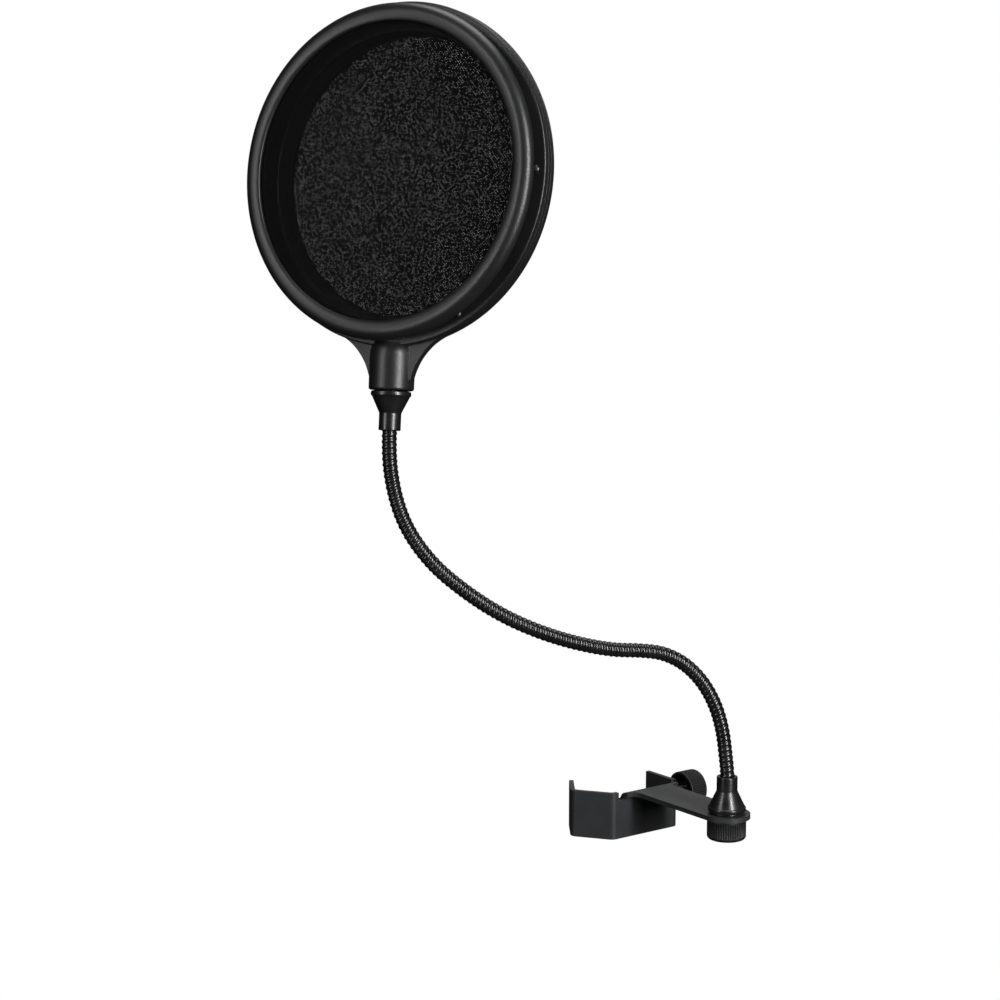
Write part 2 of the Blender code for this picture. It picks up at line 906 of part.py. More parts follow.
def small_screws(head):
    for name, x, z, tip_y, seat_y in screw_places():
        lathe(
            name,
            [
                (0, tip_y),
                (SMALL_SCREW_R, tip_y),
                (SMALL_SCREW_R, seat_y + GAP),
                (SMALL_SCREW_HEAD_R, seat_y + GAP),
                (SMALL_SCREW_HEAD_R, seat_y + SMALL_SCREW_HEAD_H - 0.0004),
                (SMALL_SCREW_HEAD_R - 0.0006, seat_y + SMALL_SCREW_HEAD_H),
                (0, seat_y + SMALL_SCREW_HEAD_H),
            ],
            12,
            screw_steel(),
            head,
            "Y",
            (x, 0, z),
        )


def screw_cutters(name, head, front_half):
    """Pilot holes in the front half, or clearance holes with counterbores in the rear half."""
    bm = bmesh.new()
    for _, x, z, tip_y, seat_y in screw_places():
        if front_half:
            profile = rod_profile(SMALL_SCREW_R + GAP, tip_y - GAP, PAST)
        else:
            shank_r = SMALL_SCREW_R + GAP
            head_r = SMALL_SCREW_HEAD_R + GAP
            top_y = REAR_CROWN_Y + PAST
            profile = [(0, -PAST), (shank_r, -PAST), (shank_r, seat_y)]
            profile += [(head_r, seat_y), (head_r, top_y), (0, top_y)]
        lathe_into(bm, profile, 12, "Y", (x, 0, z))
    return finish_object(name, bm, None, head)


def rear_frame_front(head):
    edge = 0.0010
    profile = [
        (REAR_RING_R, 0),
        (REAR_RING_R, REAR_FRONT_Y + edge),
        (REAR_RING_R - edge, REAR_FRONT_Y),
        (REAR_OPENING_R + edge, REAR_FRONT_Y),
        (REAR_OPENING_R, REAR_FRONT_Y + edge),
        (REAR_OPENING_R, 0),
    ]
    half = lathe(
        "rear_frame_front", profile, RING_TURNS, ring_plastic(), head, axis="Y"
    )
    web = prism("web_front", web_outline(), -WEB_T, 0, None, head, axis="Y")
    join(half, web, boss("boss_front", head))
    cut(half, beyond_seam("behind_seam", head, 1), *neck_cutters("front", head))
    cut(half, pin_sockets("rear_sockets", head, REAR_FRONT_Y, 1))
    cut(half, screw_cutters("screw_pilots", head, True))


def rear_frame_back(head):
    outer = quarter(
        (REAR_CROWN_R, REAR_WIDE_Y),
        REAR_RING_R - REAR_CROWN_R,
        REAR_CROWN_Y - REAR_WIDE_Y,
        0,
        90,
        7,
    )
    inner = quarter(
        (REAR_CROWN_R, REAR_LIP_Y),
        REAR_CROWN_R - REAR_OPENING_R,
        REAR_CROWN_Y - REAR_LIP_Y,
        90,
        180,
        4,
    )
    profile = [
        (REAR_RING_R, 0),
        *outer,
        *inner[1:],
        (REAR_OPENING_R, REAR_SEAT_Y),
        (REAR_SEAT_R, REAR_SEAT_Y),
        (REAR_SEAT_R, 0),
    ]
    half = lathe("rear_frame_back", profile, RING_TURNS, ring_plastic(), head, axis="Y")
    web = prism("web_rear", web_outline(), 0, WEB_T, None, head, axis="Y")
    join(half, web, boss("boss_rear", head))
    cut(half, beyond_seam("before_seam", head, -1), *neck_cutters("rear", head))
    cut(half, screw_cutters("screw_ways", head, False))


def neck_nut(head):
    hex_nut(
        "neck_nut",
        NECK_NUT_AF,
        *NECK_NUT_Z,
        STUD_R + GAP,
        screw_steel(),
        head,
    )


def main():
    clear_scene()
    clamp_bracket()
    clamp_nut()
    pressure_pad()
    thumbscrew()

    base_frame = Matrix.Translation((TAB_X, TAB_END_Y, COLLAR_Z))
    base = empty("base_frame", base_frame)
    collar("lower_collar", base, LOWER_COLLAR_L)
    stud("lower_stud", base, COLLAR_Z - (TAB_NUT_BOTTOM_Z + TAB_NUT_CAP_T + 0.0012))
    tab_fastening(empty("tab_frame", Matrix.Translation((TAB_X, TAB_END_Y, 0))))

    turned = Euler((HEAD_TILT, 0, HEAD_YAW)).to_matrix().to_4x4()
    rolled = turned @ Matrix.Rotation(HEAD_ROLL, 4, "Y")
    head_frame = Matrix.Translation(HEAD_ORIGIN) @ rolled
    flip = Matrix.Rotation(math.pi, 4, "X")
    upper_frame = head_frame @ Matrix.Translation((0, 0, UPPER_COLLAR_Z)) @ flip
    upper = empty("upper_frame", upper_frame)
    collar("upper_collar", upper, UPPER_COLLAR_L)
    stud("upper_stud", upper, NECK_STUD_TOP_Z - UPPER_COLLAR_Z)
    gooseneck(base_frame, upper_frame)

    head = empty("head_frame", head_frame)
    front_ring(head)
    spacer_pins(head)
    screens(head)
    rear_frame_front(head)
    rear_frame_back(head)
    small_screws(head)
    neck_nut(head)


main()
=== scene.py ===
"""The looks of the dual-screen pop filter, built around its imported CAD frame.

Lengths are in metres in the frame's own axes: +Z up the microphone stand, +X along the clamp's
thumbscrew. The head's pieces are built in the head's own axes, with the rings' axis along Y, the
front towards -Y and the neck towards -Z.
"""

import json
import math

import bmesh
import bpy
import numpy as np
from mathutils import Matrix, Vector

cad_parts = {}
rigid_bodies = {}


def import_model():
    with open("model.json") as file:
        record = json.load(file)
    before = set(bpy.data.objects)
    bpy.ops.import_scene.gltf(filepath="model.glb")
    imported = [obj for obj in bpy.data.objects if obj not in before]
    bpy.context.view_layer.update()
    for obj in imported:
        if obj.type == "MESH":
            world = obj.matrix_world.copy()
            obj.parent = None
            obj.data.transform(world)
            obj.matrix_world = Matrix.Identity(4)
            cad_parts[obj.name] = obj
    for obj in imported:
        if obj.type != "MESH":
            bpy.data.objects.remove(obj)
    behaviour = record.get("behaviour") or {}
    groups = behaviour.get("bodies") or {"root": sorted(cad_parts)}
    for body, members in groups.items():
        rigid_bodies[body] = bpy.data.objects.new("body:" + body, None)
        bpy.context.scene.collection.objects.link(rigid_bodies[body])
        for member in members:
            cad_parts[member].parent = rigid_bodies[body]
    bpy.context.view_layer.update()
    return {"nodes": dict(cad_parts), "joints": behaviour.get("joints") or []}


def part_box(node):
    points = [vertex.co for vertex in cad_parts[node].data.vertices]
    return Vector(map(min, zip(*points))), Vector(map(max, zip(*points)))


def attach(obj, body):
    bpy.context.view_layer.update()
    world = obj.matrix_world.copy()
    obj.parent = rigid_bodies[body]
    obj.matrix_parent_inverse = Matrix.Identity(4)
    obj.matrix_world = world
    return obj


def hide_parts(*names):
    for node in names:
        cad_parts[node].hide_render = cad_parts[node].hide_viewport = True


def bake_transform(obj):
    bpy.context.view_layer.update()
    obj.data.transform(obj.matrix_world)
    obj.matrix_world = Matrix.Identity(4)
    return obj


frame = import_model()

MM = 0.001
TAU = 2 * math.pi
EYE = (-0.7898, -0.9781, 0.3604)
LOOK_AZIMUTH = math.radians(-36.5)
LOOK_DOWN = math.radians(8.2)
LENS = 81.0

# Clamp
STAND_R = 10.3 * MM
SHEET = 2.6 * MM
STRIP_H = 27.0 * MM
BEND_R = 3.3 * MM
JAW_ANGLE = math.radians(54.3)
JAW_REAR_LEG = 21.0 * MM
SIDE_PLATE_Y = -19.2 * MM
END_PLATE_X = 46.9 * MM
END_PLATE_TOP_Y = 6.5 * MM
TAB_X = 25.0 * MM
TAB_W = 26.0 * MM
TAB_END_Y = -86.7 * MM
TAB_FOLD_R = 3.7 * MM
TAB_FLARE_R = 9.0 * MM
FOLD_X = (6.0 * MM, 44.0 * MM)
NOTCH_R = 1.6 * MM
NOTCH_Z = 10.1 * MM
EDGE = 0.35 * MM
STUD_HOLE_R = 4.4 * MM
SCREW_HOLE_R = 3.4 * MM
STUD_BORE_R = 4.3 * MM
SCREW_NUT_AF = 10.0 * MM
SCREW_NUT_BORE_R = 3.15 * MM
KNOB_R = 10.8 * MM
KNOB_RECESS_D = 7.0 * MM
KNOB_SOCKET_D = 10.4 * MM
GRIP_DEPTH = 0.50 * MM
GRIP_RIBS = 48
PAD_R = 7.0 * MM
TAB_NUT_R = 10.8 * MM

# Gooseneck and its collars
GOOSENECK_R = 4.0 * MM
COIL_PITCH = 3.0 * MM
COIL_DEPTH = 0.6 * MM
SEGMENTS = 8
LOWER_COLLAR_L = 19.5 * MM
UPPER_COLLAR_L = 20.4 * MM
COLLAR_R = 10.5 * MM
FERRULE_R = 5.75 * MM
IN_FERRULE = 7.0 * MM
ROUTE = (
    (0.0239, -0.0861, 0.0470),
    (0.0221, -0.0854, 0.0600),
    (0.0176, -0.0835, 0.0755),
    (0.0105, -0.0804, 0.0886),
    (0.0014, -0.0762, 0.0985),
    (-0.0095, -0.0715, 0.1046),
    (-0.0210, -0.0665, 0.1068),
    (-0.0340, -0.0614, 0.1080),
    (-0.0500, -0.0550, 0.1116),
    (-0.0700, -0.0470, 0.1186),
    (-0.0909, -0.0380, 0.1292),
    (-0.1105, -0.0299, 0.1434),
    (-0.1274, -0.0222, 0.1601),
    (-0.1397, -0.0162, 0.1806),
    (-0.1454, -0.0124, 0.2049),
)

# Head
RING_TURNS = 288
FRONT_RING_R = 86.4 * MM
FRONT_CROWN_R = 81.1 * MM
FRONT_OPENING_R = 76.6 * MM
FRONT_SEAT_R = 79.2 * MM
FRONT_SEAT_Y = -16.2 * MM
FRONT_BACK_Y = -12.7 * MM
FRONT_SCREEN = (-15.7 * MM, 78.9 * MM)  # its place along Y and its radius
REAR_RING_R = 88.7 * MM
REAR_CROWN_R = 79.7 * MM
REAR_OPENING_R = 73.0 * MM
REAR_SEAT_R = 75.8 * MM
REAR_SEAT_Y = 8.0 * MM
REAR_FRONT_Y = -6.0 * MM
REAR_SCREEN = (7.5 * MM, 75.5 * MM)
GROOVE_Y = -2.6 * MM
SWIVEL_Z = -111.4 * MM
COLLAR_Z = -111.6 * MM
NECK_TOP_Z = -80.0 * MM
POST_CIRCLE_R = 83.2 * MM
POST_R = 1.2 * MM
WEB = 2.0 * MM  # of each half
WEB_FLARE_R = 34.0 * MM
WEB_FLARE_X = 45.5 * MM
BOSS_R = 11.8 * MM
BOSS_BOTTOM_Z = -111.2 * MM
BOSS_DOME_Z = -93.5 * MM
BOSS_EDGE_R = 1.2 * MM
FILLET = 1.0 * MM
SEAM = 0.14 * MM
SMALL_SCREW_R = 1.2 * MM
SMALL_SCREW_HEAD_R = 2.4 * MM
COUNTERBORE_R = 2.7 * MM
SMALL_SCREWS = {f"frame_screw_{i}": 7.8 * MM for i in range(1, 6)} | {"neck_screw": 5.0 * MM}  # their seats


# ---------------------------------------------------------------- the frame's own places


def joint(name):
    return next(j for j in frame["joints"] if j["name"] == name)


def middle(node):
    low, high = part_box(node)
    return (low + high) / 2


def head_axes():
    """The head's frame, from the swivel's axis and two screws at the same height."""
    swivel = joint("head_swivel")
    z = Vector(swivel["axis"]).normalized()
    across = middle("frame_screw_2") - middle("frame_screw_4")
    x = (across - z * across.dot(z)).normalized()
    turned = Matrix((x, z.cross(x), z)).transposed().to_4x4()
    return Matrix.Translation(Vector(swivel["pos_m"]) - z * SWIVEL_Z) @ turned


HEAD = head_axes()
STUD_AXIS = Matrix.Translation((TAB_X, TAB_END_Y, 0))
BASE = Matrix.Translation((TAB_X, TAB_END_Y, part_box("lower_collar")[0].z))
TOP = HEAD @ Matrix.Translation((0, 0, COLLAR_Z)) @ Matrix.Rotation(math.pi, 4, "X")


# ---------------------------------------------------------------- materials


class Nodes:
    """A material's node tree, with short calls for the nodes that these materials share."""

    def __init__(self, name):
        self.material = bpy.data.materials.new(name)
        self.material.use_nodes = True
        self.tree = self.material.node_tree
        self.shader = self.tree.nodes["Principled BSDF"]
        self.place = self.add("ShaderNodeTexCoord").outputs["Object"]

    def add(self, kind, **settings):
        node = self.tree.nodes.new(kind)
        for name, value in settings.items():
            setattr(node, name, value)
        return node

    def link(self, out, into):
        self.tree.links.new(out, into)

    def set(self, **values):
        for name, value in values.items():
            self.shader.inputs[name.replace("_", " ")].default_value = value

    def noise(self, scale, detail=2.0, roughness=0.5, stretch=None):
        """Noise of this many cycles per metre."""
        node = self.add("ShaderNodeTexNoise")
        node.inputs["Scale"].default_value = scale
        node.inputs["Detail"].default_value = detail
        node.inputs["Roughness"].default_value = roughness
        place = self.place
        if stretch:
            mapping = self.add("ShaderNodeMapping")
            mapping.inputs["Scale"].default_value = stretch
            self.link(place, mapping.inputs["Vector"])
            place = mapping.outputs["Vector"]
        self.link(place, node.inputs["Vector"])
        return node.outputs["Fac"]

    def spread(self, value, low, high, start=0.3, end=0.7):
        """Maps a texture's middle range to low..high."""
        node = self.add("ShaderNodeMapRange")
        for name, number in zip(("From Min", "From Max", "To Min", "To Max"), (start, end, low, high)):
            node.inputs[name].default_value = number
        self.link(value, node.inputs["Value"])
        return node.outputs["Result"]

    def math(self, operation, a, b=None):
        node = self.add("ShaderNodeMath", operation=operation)
        for socket, value in zip(node.inputs, (a, b)):
            if value is None:
                continue
            if isinstance(value, (int, float)):
                socket.default_value = value
            else:
                self.link(value, socket)
        return node.outputs[0]

    def ramp(self, value, dark, light):
        node = self.add("ShaderNodeMix", data_type="RGBA")
        node.inputs["A"].default_value = (*dark, 1)
        node.inputs["B"].default_value = (*light, 1)
        self.link(value, node.inputs["Factor"])
        return node.outputs["Result"]

    def bump(self, height, distance, strength=1.0, under=None):
        node = self.add("ShaderNodeBump")
        node.inputs["Distance"].default_value = distance
        node.inputs["Strength"].default_value = strength
        self.link(height, node.inputs["Height"])
        if under is not None:
            self.link(under, node.inputs["Normal"])
        return node.outputs["Normal"]


def moulded_plastic(name, dark, light, rough, grain):
    """Black moulded plastic with a fine eroded grain. grain is its size in metres."""
    n = Nodes(name)
    fine = n.noise(1 / grain, 3.0, 0.6)
    broad = n.noise(45.0, 2.0)
    n.link(n.ramp(n.spread(broad, 0, 1), dark, light), n.shader.inputs["Base Color"])
    n.link(n.spread(fine, rough - 0.05, rough + 0.07), n.shader.inputs["Roughness"])
    n.link(n.bump(fine, 0.12 * MM, 0.7), n.shader.inputs["Normal"])
    n.set(Specular_IOR_Level=0.5, IOR=1.5)
    return n.material


def glossy_paint(name, colour, rough, orange_peel=0.03 * MM):
    """Black lacquer on metal, with a faint orange peel and small differences in gloss."""
    n = Nodes(name)
    peel = n.noise(900.0, 2.0)
    patches = n.noise(120.0, 3.0)
    lighter = tuple(1.7 * c for c in colour)
    n.link(n.ramp(n.spread(patches, 0, 1), colour, lighter), n.shader.inputs["Base Color"])
    n.link(n.spread(patches, rough - 0.03, rough + 0.06), n.shader.inputs["Roughness"])
    n.link(n.bump(peel, orange_peel, 0.4), n.shader.inputs["Normal"])
    n.set(IOR=1.6)
    return n.material


def powder_coat():
    """Satin black powder coat on sheet steel."""
    n = Nodes("powder_coat")
    fine = n.noise(2600.0, 2.0, 0.6)
    broad = n.noise(60.0, 3.0)
    n.link(
        n.ramp(n.spread(broad, 0, 1), (0.020, 0.021, 0.022), (0.028, 0.029, 0.031)),
        n.shader.inputs["Base Color"],
    )
    n.link(n.spread(fine, 0.36, 0.50), n.shader.inputs["Roughness"])
    n.link(n.bump(fine, 0.05 * MM, 0.35), n.shader.inputs["Normal"])
    n.set(IOR=1.45)
    return n.material


def dark_steel():
    """Black-oxide steel of the thumbscrew, studs and nuts."""
    n = Nodes("screw_steel")
    worn = n.noise(700.0, 4.0, 0.65)
    n.link(
        n.ramp(n.spread(worn, 0, 1), (0.035, 0.036, 0.038), (0.11, 0.11, 0.115)),
        n.shader.inputs["Base Color"],
    )
    n.link(n.spread(worn, 0.30, 0.44), n.shader.inputs["Roughness"])
    n.set(Metallic=0.9)
    return n.material


def nylon_mesh(name, angle, pitch, wide, tight):
    """Black nylon net: small square holes between woven threads. angle turns its weave. wide and tight are
    the heights of the weave's waves above which its widest and its tightest holes are open."""
    n = Nodes(name)
    ripple = n.add("ShaderNodeTexNoise")
    ripple.inputs["Scale"].default_value = 14.0
    ripple.inputs["Detail"].default_value = 1.0
    n.link(n.place, ripple.inputs["Vector"])
    pulled = n.add("ShaderNodeVectorMath", operation="MULTIPLY_ADD")
    pulled.inputs[1].default_value = (1.6 * MM,) * 3
    n.link(ripple.outputs["Color"], pulled.inputs[0])
    n.link(n.place, pulled.inputs[2])
    turned = Matrix.Rotation(math.radians(angle), 3, "Y") @ HEAD.to_3x3().inverted()
    mapping = n.add("ShaderNodeMapping")
    mapping.inputs["Rotation"].default_value = turned.to_euler()
    n.link(pulled.outputs[0], mapping.inputs["Vector"])
    split = n.add("ShaderNodeSeparateXYZ")
    n.link(mapping.outputs["Vector"], split.inputs[0])
    threads = [
        n.math("COSINE", n.math("MULTIPLY", split.outputs[axis], TAU / pitch))
        for axis in ("X", "Z")
    ]
    limit = n.spread(n.noise(1000.0, 1.0), wide, tight, 0.35, 0.65)
    open_x, open_z = (n.math("GREATER_THAN", t, limit) for t in threads)
    hole = n.math("MULTIPLY", open_x, open_z)
    n.link(n.math("SUBTRACT", 1.0, hole), n.shader.inputs["Alpha"])
    shade = n.noise(500.0, 3.0)
    n.link(
        n.ramp(n.spread(shade, 0, 1), (0.0015, 0.0015, 0.0016), (0.004, 0.0041, 0.0043)),
        n.shader.inputs["Base Color"],
    )
    n.link(n.spread(shade, 0.70, 0.90), n.shader.inputs["Roughness"])
    n.link(n.bump(shade, 0.10 * MM, 0.5), n.shader.inputs["Normal"])
    n.set(IOR=1.4, Specular_IOR_Level=0.12)
    return n.material


# ---------------------------------------------------------------- meshes


def new_object(name, mesh, material, matrix=None, sharp=28.0):
    """An object at the origin: its place is in its mesh."""
    if matrix is not None:
        mesh.transform(matrix)
    mesh.materials.append(material)
    mesh.shade_smooth()
    mesh.set_sharp_from_angle(angle=math.radians(sharp))
    obj = bpy.data.objects.new(name, mesh)
    bpy.context.scene.collection.objects.link(obj)
    return obj


def face_out(mesh):
    bm = bmesh.new()
    bm.from_mesh(mesh)
    bmesh.ops.recalc_face_normals(bm, faces=bm.faces)
    bm.to_mesh(mesh)
    bm.free()


def grid_mesh(name, rows, wrap_rows=False, tips=(None, None)):
    """A closed skin over rows of points, each row a loop.

    tips are points that close the first and last row, in place of a flat cap.
    """
    rows = np.asarray(rows, float)
    count, turns = rows.shape[:2]
    points = [tuple(p) for p in rows.reshape(-1, 3)]
    faces = []
    last = count if wrap_rows else count - 1
    for k in range(last):
        low, high = k * turns, (k + 1) % count * turns
        for i in range(turns):
            j = (i + 1) % turns
            faces.append((low + i, low + j, high + j, high + i))
    for tip, row in zip(tips, (0, count - 1)):
        ring = range(row * turns, (row + 1) * turns)
        if tip is not None:
            points.append(tuple(tip))
            faces += [(a, b, len(points) - 1) for a, b in zip(ring, [*ring[1:], ring[0]])]
        elif not wrap_rows:
            faces.append(tuple(ring))
    mesh = bpy.data.meshes.new(name)
    mesh.from_pydata(points, [], faces)
    face_out(mesh)
    return mesh


def ribs(turns, count, depth, sharpness=1.0):
    """How far in each of these turns lies, for this many rounded ribs."""
    angle = np.arange(turns) * TAU / turns
    wave = np.abs(np.sin(angle * count / 2)) ** sharpness
    return depth * (1 - wave)


def lathe(name, profile, turns, axis="Z", rib=None):
    """Turns (radius, height) points. One that doesn't run from axis to axis is a closed loop.

    rib is a pair: how far in each turn lies, and a function of radius and height for its share.
    """
    profile = list(profile)
    tips = [None, None]
    for end in (0, -1):
        if profile[end][0] == 0:
            tips[end] = profile[end][1]
    closed = tips[0] is None
    inner = [p for p in profile if p[0] > 0]
    angle = np.arange(turns) * TAU / turns
    rows = []
    for radius, height in inner:
        r = np.full(turns, radius)
        if rib:
            r = r - rib[0] * rib[1](radius, height)
        rows.append(np.stack([r * np.cos(angle), r * np.sin(angle), np.full(turns, height)], 1))
    rows = np.array(rows)
    order = {"Z": (0, 1, 2), "Y": (0, 2, 1), "X": (2, 0, 1)}[axis]
    rows = rows[:, :, order]
    ends = [None if t is None else tuple(np.array((0, 0, t))[list(order)]) for t in tips]
    return grid_mesh(name, rows, wrap_rows=closed, tips=ends)


def rounded(corners, closed=True, steps=5):
    """A profile through (a, b, radius) corners, with an arc of that radius at each."""
    found = []
    count = len(corners)
    for i, (a, b, radius) in enumerate(corners):
        here = Vector((a, b))
        ends = not closed and i in (0, count - 1)
        if radius == 0 or ends:
            found.append((a, b))
            continue
        back = (Vector(corners[i - 1][:2]) - here).normalized()
        on = (Vector(corners[(i + 1) % count][:2]) - here).normalized()
        half = back.angle(on) / 2
        start, end = here + back * (radius / math.tan(half)), here + on * (radius / math.tan(half))
        centre = here + (back + on).normalized() * (radius / math.sin(half))
        first, last = start - centre, end - centre
        turn = math.atan2(first.x * last.y - first.y * last.x, first.dot(last))
        for k in range(steps + 1):
            c, s = math.cos(turn * k / steps), math.sin(turn * k / steps)
            found.append((centre.x + first.x * c - first.y * s, centre.y + first.x * s + first.y * c))
    return found


def rod_profile(radius, low, high):
    return [(0, low), (radius, low), (radius, high), (0, high)]


def arc(centre, half_width, half_height, start, end, steps):
    """Points on an elliptic arc, in degrees, both ends included."""
    angles = [math.radians(start + (end - start) * i / steps) for i in range(steps + 1)]
    return [
        (centre[0] + half_width * math.cos(a), centre[1] + half_height * math.sin(a)) for a in angles
    ]


def plain(points):
    """Profile points as corners without rounding."""
    return [(a, b, 0) for a, b in points]


def prism_mesh(name, outline, low, high, axis="Z"):
    """An outline of points, (x, y) for Z, (x, z) for Y or (y, z) for X, extruded along that axis."""
    order = {"Z": (0, 1, 2), "Y": (0, 2, 1), "X": (2, 0, 1)}[axis]
    rows = np.array([[(a, b, h) for a, b in outline] for h in (low, high)])[:, :, order]
    return grid_mesh(name, rows)


def combined(name, base, steps, material, matrix=None, sharp=28.0):
    """The base mesh after an exact Boolean for each (mesh, operation) step."""
    holder = bpy.data.objects.new(name + "_base", base)
    bpy.context.scene.collection.objects.link(holder)
    helpers = []
    for i, (other, operation) in enumerate(steps):
        helper = bpy.data.objects.new(f"{name}_{i}", other)
        bpy.context.scene.collection.objects.link(helper)
        helpers.append(helper)
        modifier = holder.modifiers.new("cut", "BOOLEAN")
        modifier.operation = operation
        modifier.solver = "EXACT"
        modifier.object = helper
    bpy.context.view_layer.update()
    graph = bpy.context.evaluated_depsgraph_get()
    made = bpy.data.meshes.new_from_object(holder.evaluated_get(graph))
    made.name = name
    for helper in (*helpers, holder):
        bpy.data.objects.remove(helper)
    made.materials.clear()
    return new_object(name, made, material, matrix, sharp)


def bevelled(obj, width, segments=3, angle=40.0):
    """Rounds the object's sharp edges in its mesh."""
    modifier = obj.modifiers.new("edges", "BEVEL")
    modifier.width = width
    modifier.segments = segments
    modifier.limit_method = "ANGLE"
    modifier.angle_limit = math.radians(angle)
    modifier.harden_normals = True
    modifier.use_clamp_overlap = True
    modifier.miter_outer = "MITER_ARC"
    bpy.context.view_layer.update()
    graph = bpy.context.evaluated_depsgraph_get()
    made = bpy.data.meshes.new_from_object(obj.evaluated_get(graph))
    obj.modifiers.clear()
    old = obj.data
    obj.data = made
    bpy.data.meshes.remove(old)
    return obj


def show(obj, body, slot, *nodes):
    """Puts a finished piece on its body, in place of CAD nodes."""
    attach(obj, body)
    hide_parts(*nodes)
    return obj


# ---------------------------------------------------------------- gooseneck and threads


def smooth_route():
    """The gooseneck's centreline: cubic Hermite pieces through the route's points."""
    start = BASE @ Vector((0, 0, LOWER_COLLAR_L - IN_FERRULE))
    end = TOP @ Vector((0, 0, UPPER_COLLAR_L - IN_FERRULE))
    start_run = Vector((0, 0, 1))
    end_run = TOP.to_3x3() @ Vector((0, 0, -1))
    points = [start, start + start_run * IN_FERRULE, *(Vector(p) for p in ROUTE)]
    points += [end - end_run * IN_FERRULE, end]
    steps = [(b - a).length for a, b in zip(points, points[1:])]
    slopes = [start_run]
    for before, here, after, d0, d1 in zip(points, points[1:], points[2:], steps, steps[1:]):
        into, out = (here - before) / d0, (after - here) / d1
        slopes.append((into * d1 + out * d0) / (d0 + d1))
    slopes.append(end_run)
    slopes[1], slopes[-2] = start_run, end_run
    fine = []
    for a, b, m0, m1, d in zip(points, points[1:], slopes, slopes[1:], steps):
        for t in np.arange(24) / 24:
            fine.append(
                a * (2 * t**3 - 3 * t**2 + 1)
                + m0 * (d * (t**3 - 2 * t**2 + t))
                + b * (3 * t**2 - 2 * t**3)
                + m1 * (d * (t**3 - t**2))
            )
    fine.append(points[-1])
    return np.array([tuple(p) for p in fine])


def smoothed(line, passes=40):
    """The line with its small changes of curvature evened out, and both ends kept."""
    line = line.copy()
    for _ in range(passes):
        line[3:-3] = line[3:-3] * 0.5 + (line[2:-4] + line[4:-2]) * 0.25
    return line


def stations(line, gap):
    """Evenly spaced points and tangents, and two sides carried along without twist."""
    reach = np.concatenate([[0], np.cumsum(np.linalg.norm(np.diff(line, axis=0), axis=1))])
    count = int(reach[-1] / gap) + 1
    at = np.linspace(0, reach[-1], count)
    points = np.stack([np.interp(at, reach, line[:, k]) for k in range(3)], 1)
    run = np.gradient(points, at, axis=0)
    for _ in range(6):
        run[1:-1] = (run[:-2] + 2 * run[1:-1] + run[2:]) / 4
    run /= np.linalg.norm(run, axis=1)[:, None]
    side = np.cross(run[0], (0.3, 1, 0.2))
    sides = []
    for t in run:
        side = side - t * side.dot(t)
        side /= np.linalg.norm(side)
        sides.append(side)
    sides = np.array(sides)
    return at, points, run, sides, np.cross(run, sides)


def coil_radius(phase):
    """The gooseneck's outline over one pitch: a round wire, then the low filler wire beside it."""
    phase = phase % 1.0
    wire = np.clip(1 - (phase / 0.70 * 2 - 1) ** 2, 0, None)
    filler = np.clip(1 - ((phase - 0.70) / 0.30 * 2 - 1) ** 2, 0, None)
    height = np.where(phase < 0.70, wire**0.5, 0.5 * filler**0.5)
    return GOOSENECK_R - COIL_DEPTH * (1 - height)


def thread_radius(radius, depth):
    """A function of the phase over one pitch, for a screw thread with flat crests and roots."""

    def outline(phase):
        ramp = np.abs((phase % 1.0) * 2 - 1)
        return radius - depth * np.clip((ramp - 0.15) / 0.7, 0, 1)

    return outline


def wound(name, rows, pitch, outline, turns=32):
    """A tube through stations whose radius follows a helix."""
    at, points, _, sides, ups = rows
    angle = np.arange(turns) * TAU / turns
    radius = outline(at[:, None] / pitch - angle[None, :] / TAU)
    spokes = sides[:, None] * np.cos(angle)[None, :, None] + ups[:, None] * np.sin(angle)[None, :, None]
    return grid_mesh(name, points[:, None] + spokes * radius[:, :, None])


def gooseneck(material):
    """Seven lengths of coil, each lying across one of the CAD's joints."""
    line = smooth_route()
    rows = stations(smoothed(line), COIL_PITCH / 15)
    length = rows[0][-1]
    half = length / SEGMENTS / 2
    for i in range(1, SEGMENTS):
        first = 0 if i == 1 else length * i / SEGMENTS - half
        last = length if i == SEGMENTS - 1 else length * i / SEGMENTS + half
        a, b = np.searchsorted(rows[0], (first, last))
        part = [r[a : b + 1] for r in rows]
        mesh = wound(f"coil_{i}", part, COIL_PITCH, coil_radius)
        piece = new_object(f"coil_{i}", mesh, material, sharp=60.0)
        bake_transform(piece)
        nodes = [f"gooseneck_{i}"] + ([f"gooseneck_{SEGMENTS}"] if i == SEGMENTS - 1 else [])
        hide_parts(*nodes)


def end_collar(name, body, frame_matrix, length, metal):
    """A lacquered collar: rounded rim, cone and ferrule, with a socket for the coil."""
    cone_top = (2.4 + 9.0) * MM
    socket = length - IN_FERRULE
    corners = [
        (0, 0, 0),
        (COLLAR_R, 0, 0.8 * MM),
        (COLLAR_R, 2.4 * MM, 0.7 * MM),
        (COLLAR_R - 0.6 * MM, 2.7 * MM, 0.3 * MM),
        (FERRULE_R, cone_top, 1.2 * MM),
        (FERRULE_R, length, 0.5 * MM),
        (GOOSENECK_R + 0.1 * MM, length, 0.35 * MM),
        (GOOSENECK_R + 0.1 * MM, socket, 0),
        (0, socket, 0),
    ]
    mesh = lathe(name + "_shell", rounded(corners, closed=False, steps=6), 96)
    show(new_object(name + "_shell", mesh, metal, frame_matrix), body, "black_metal", name)


# ---------------------------------------------------------------- clamp


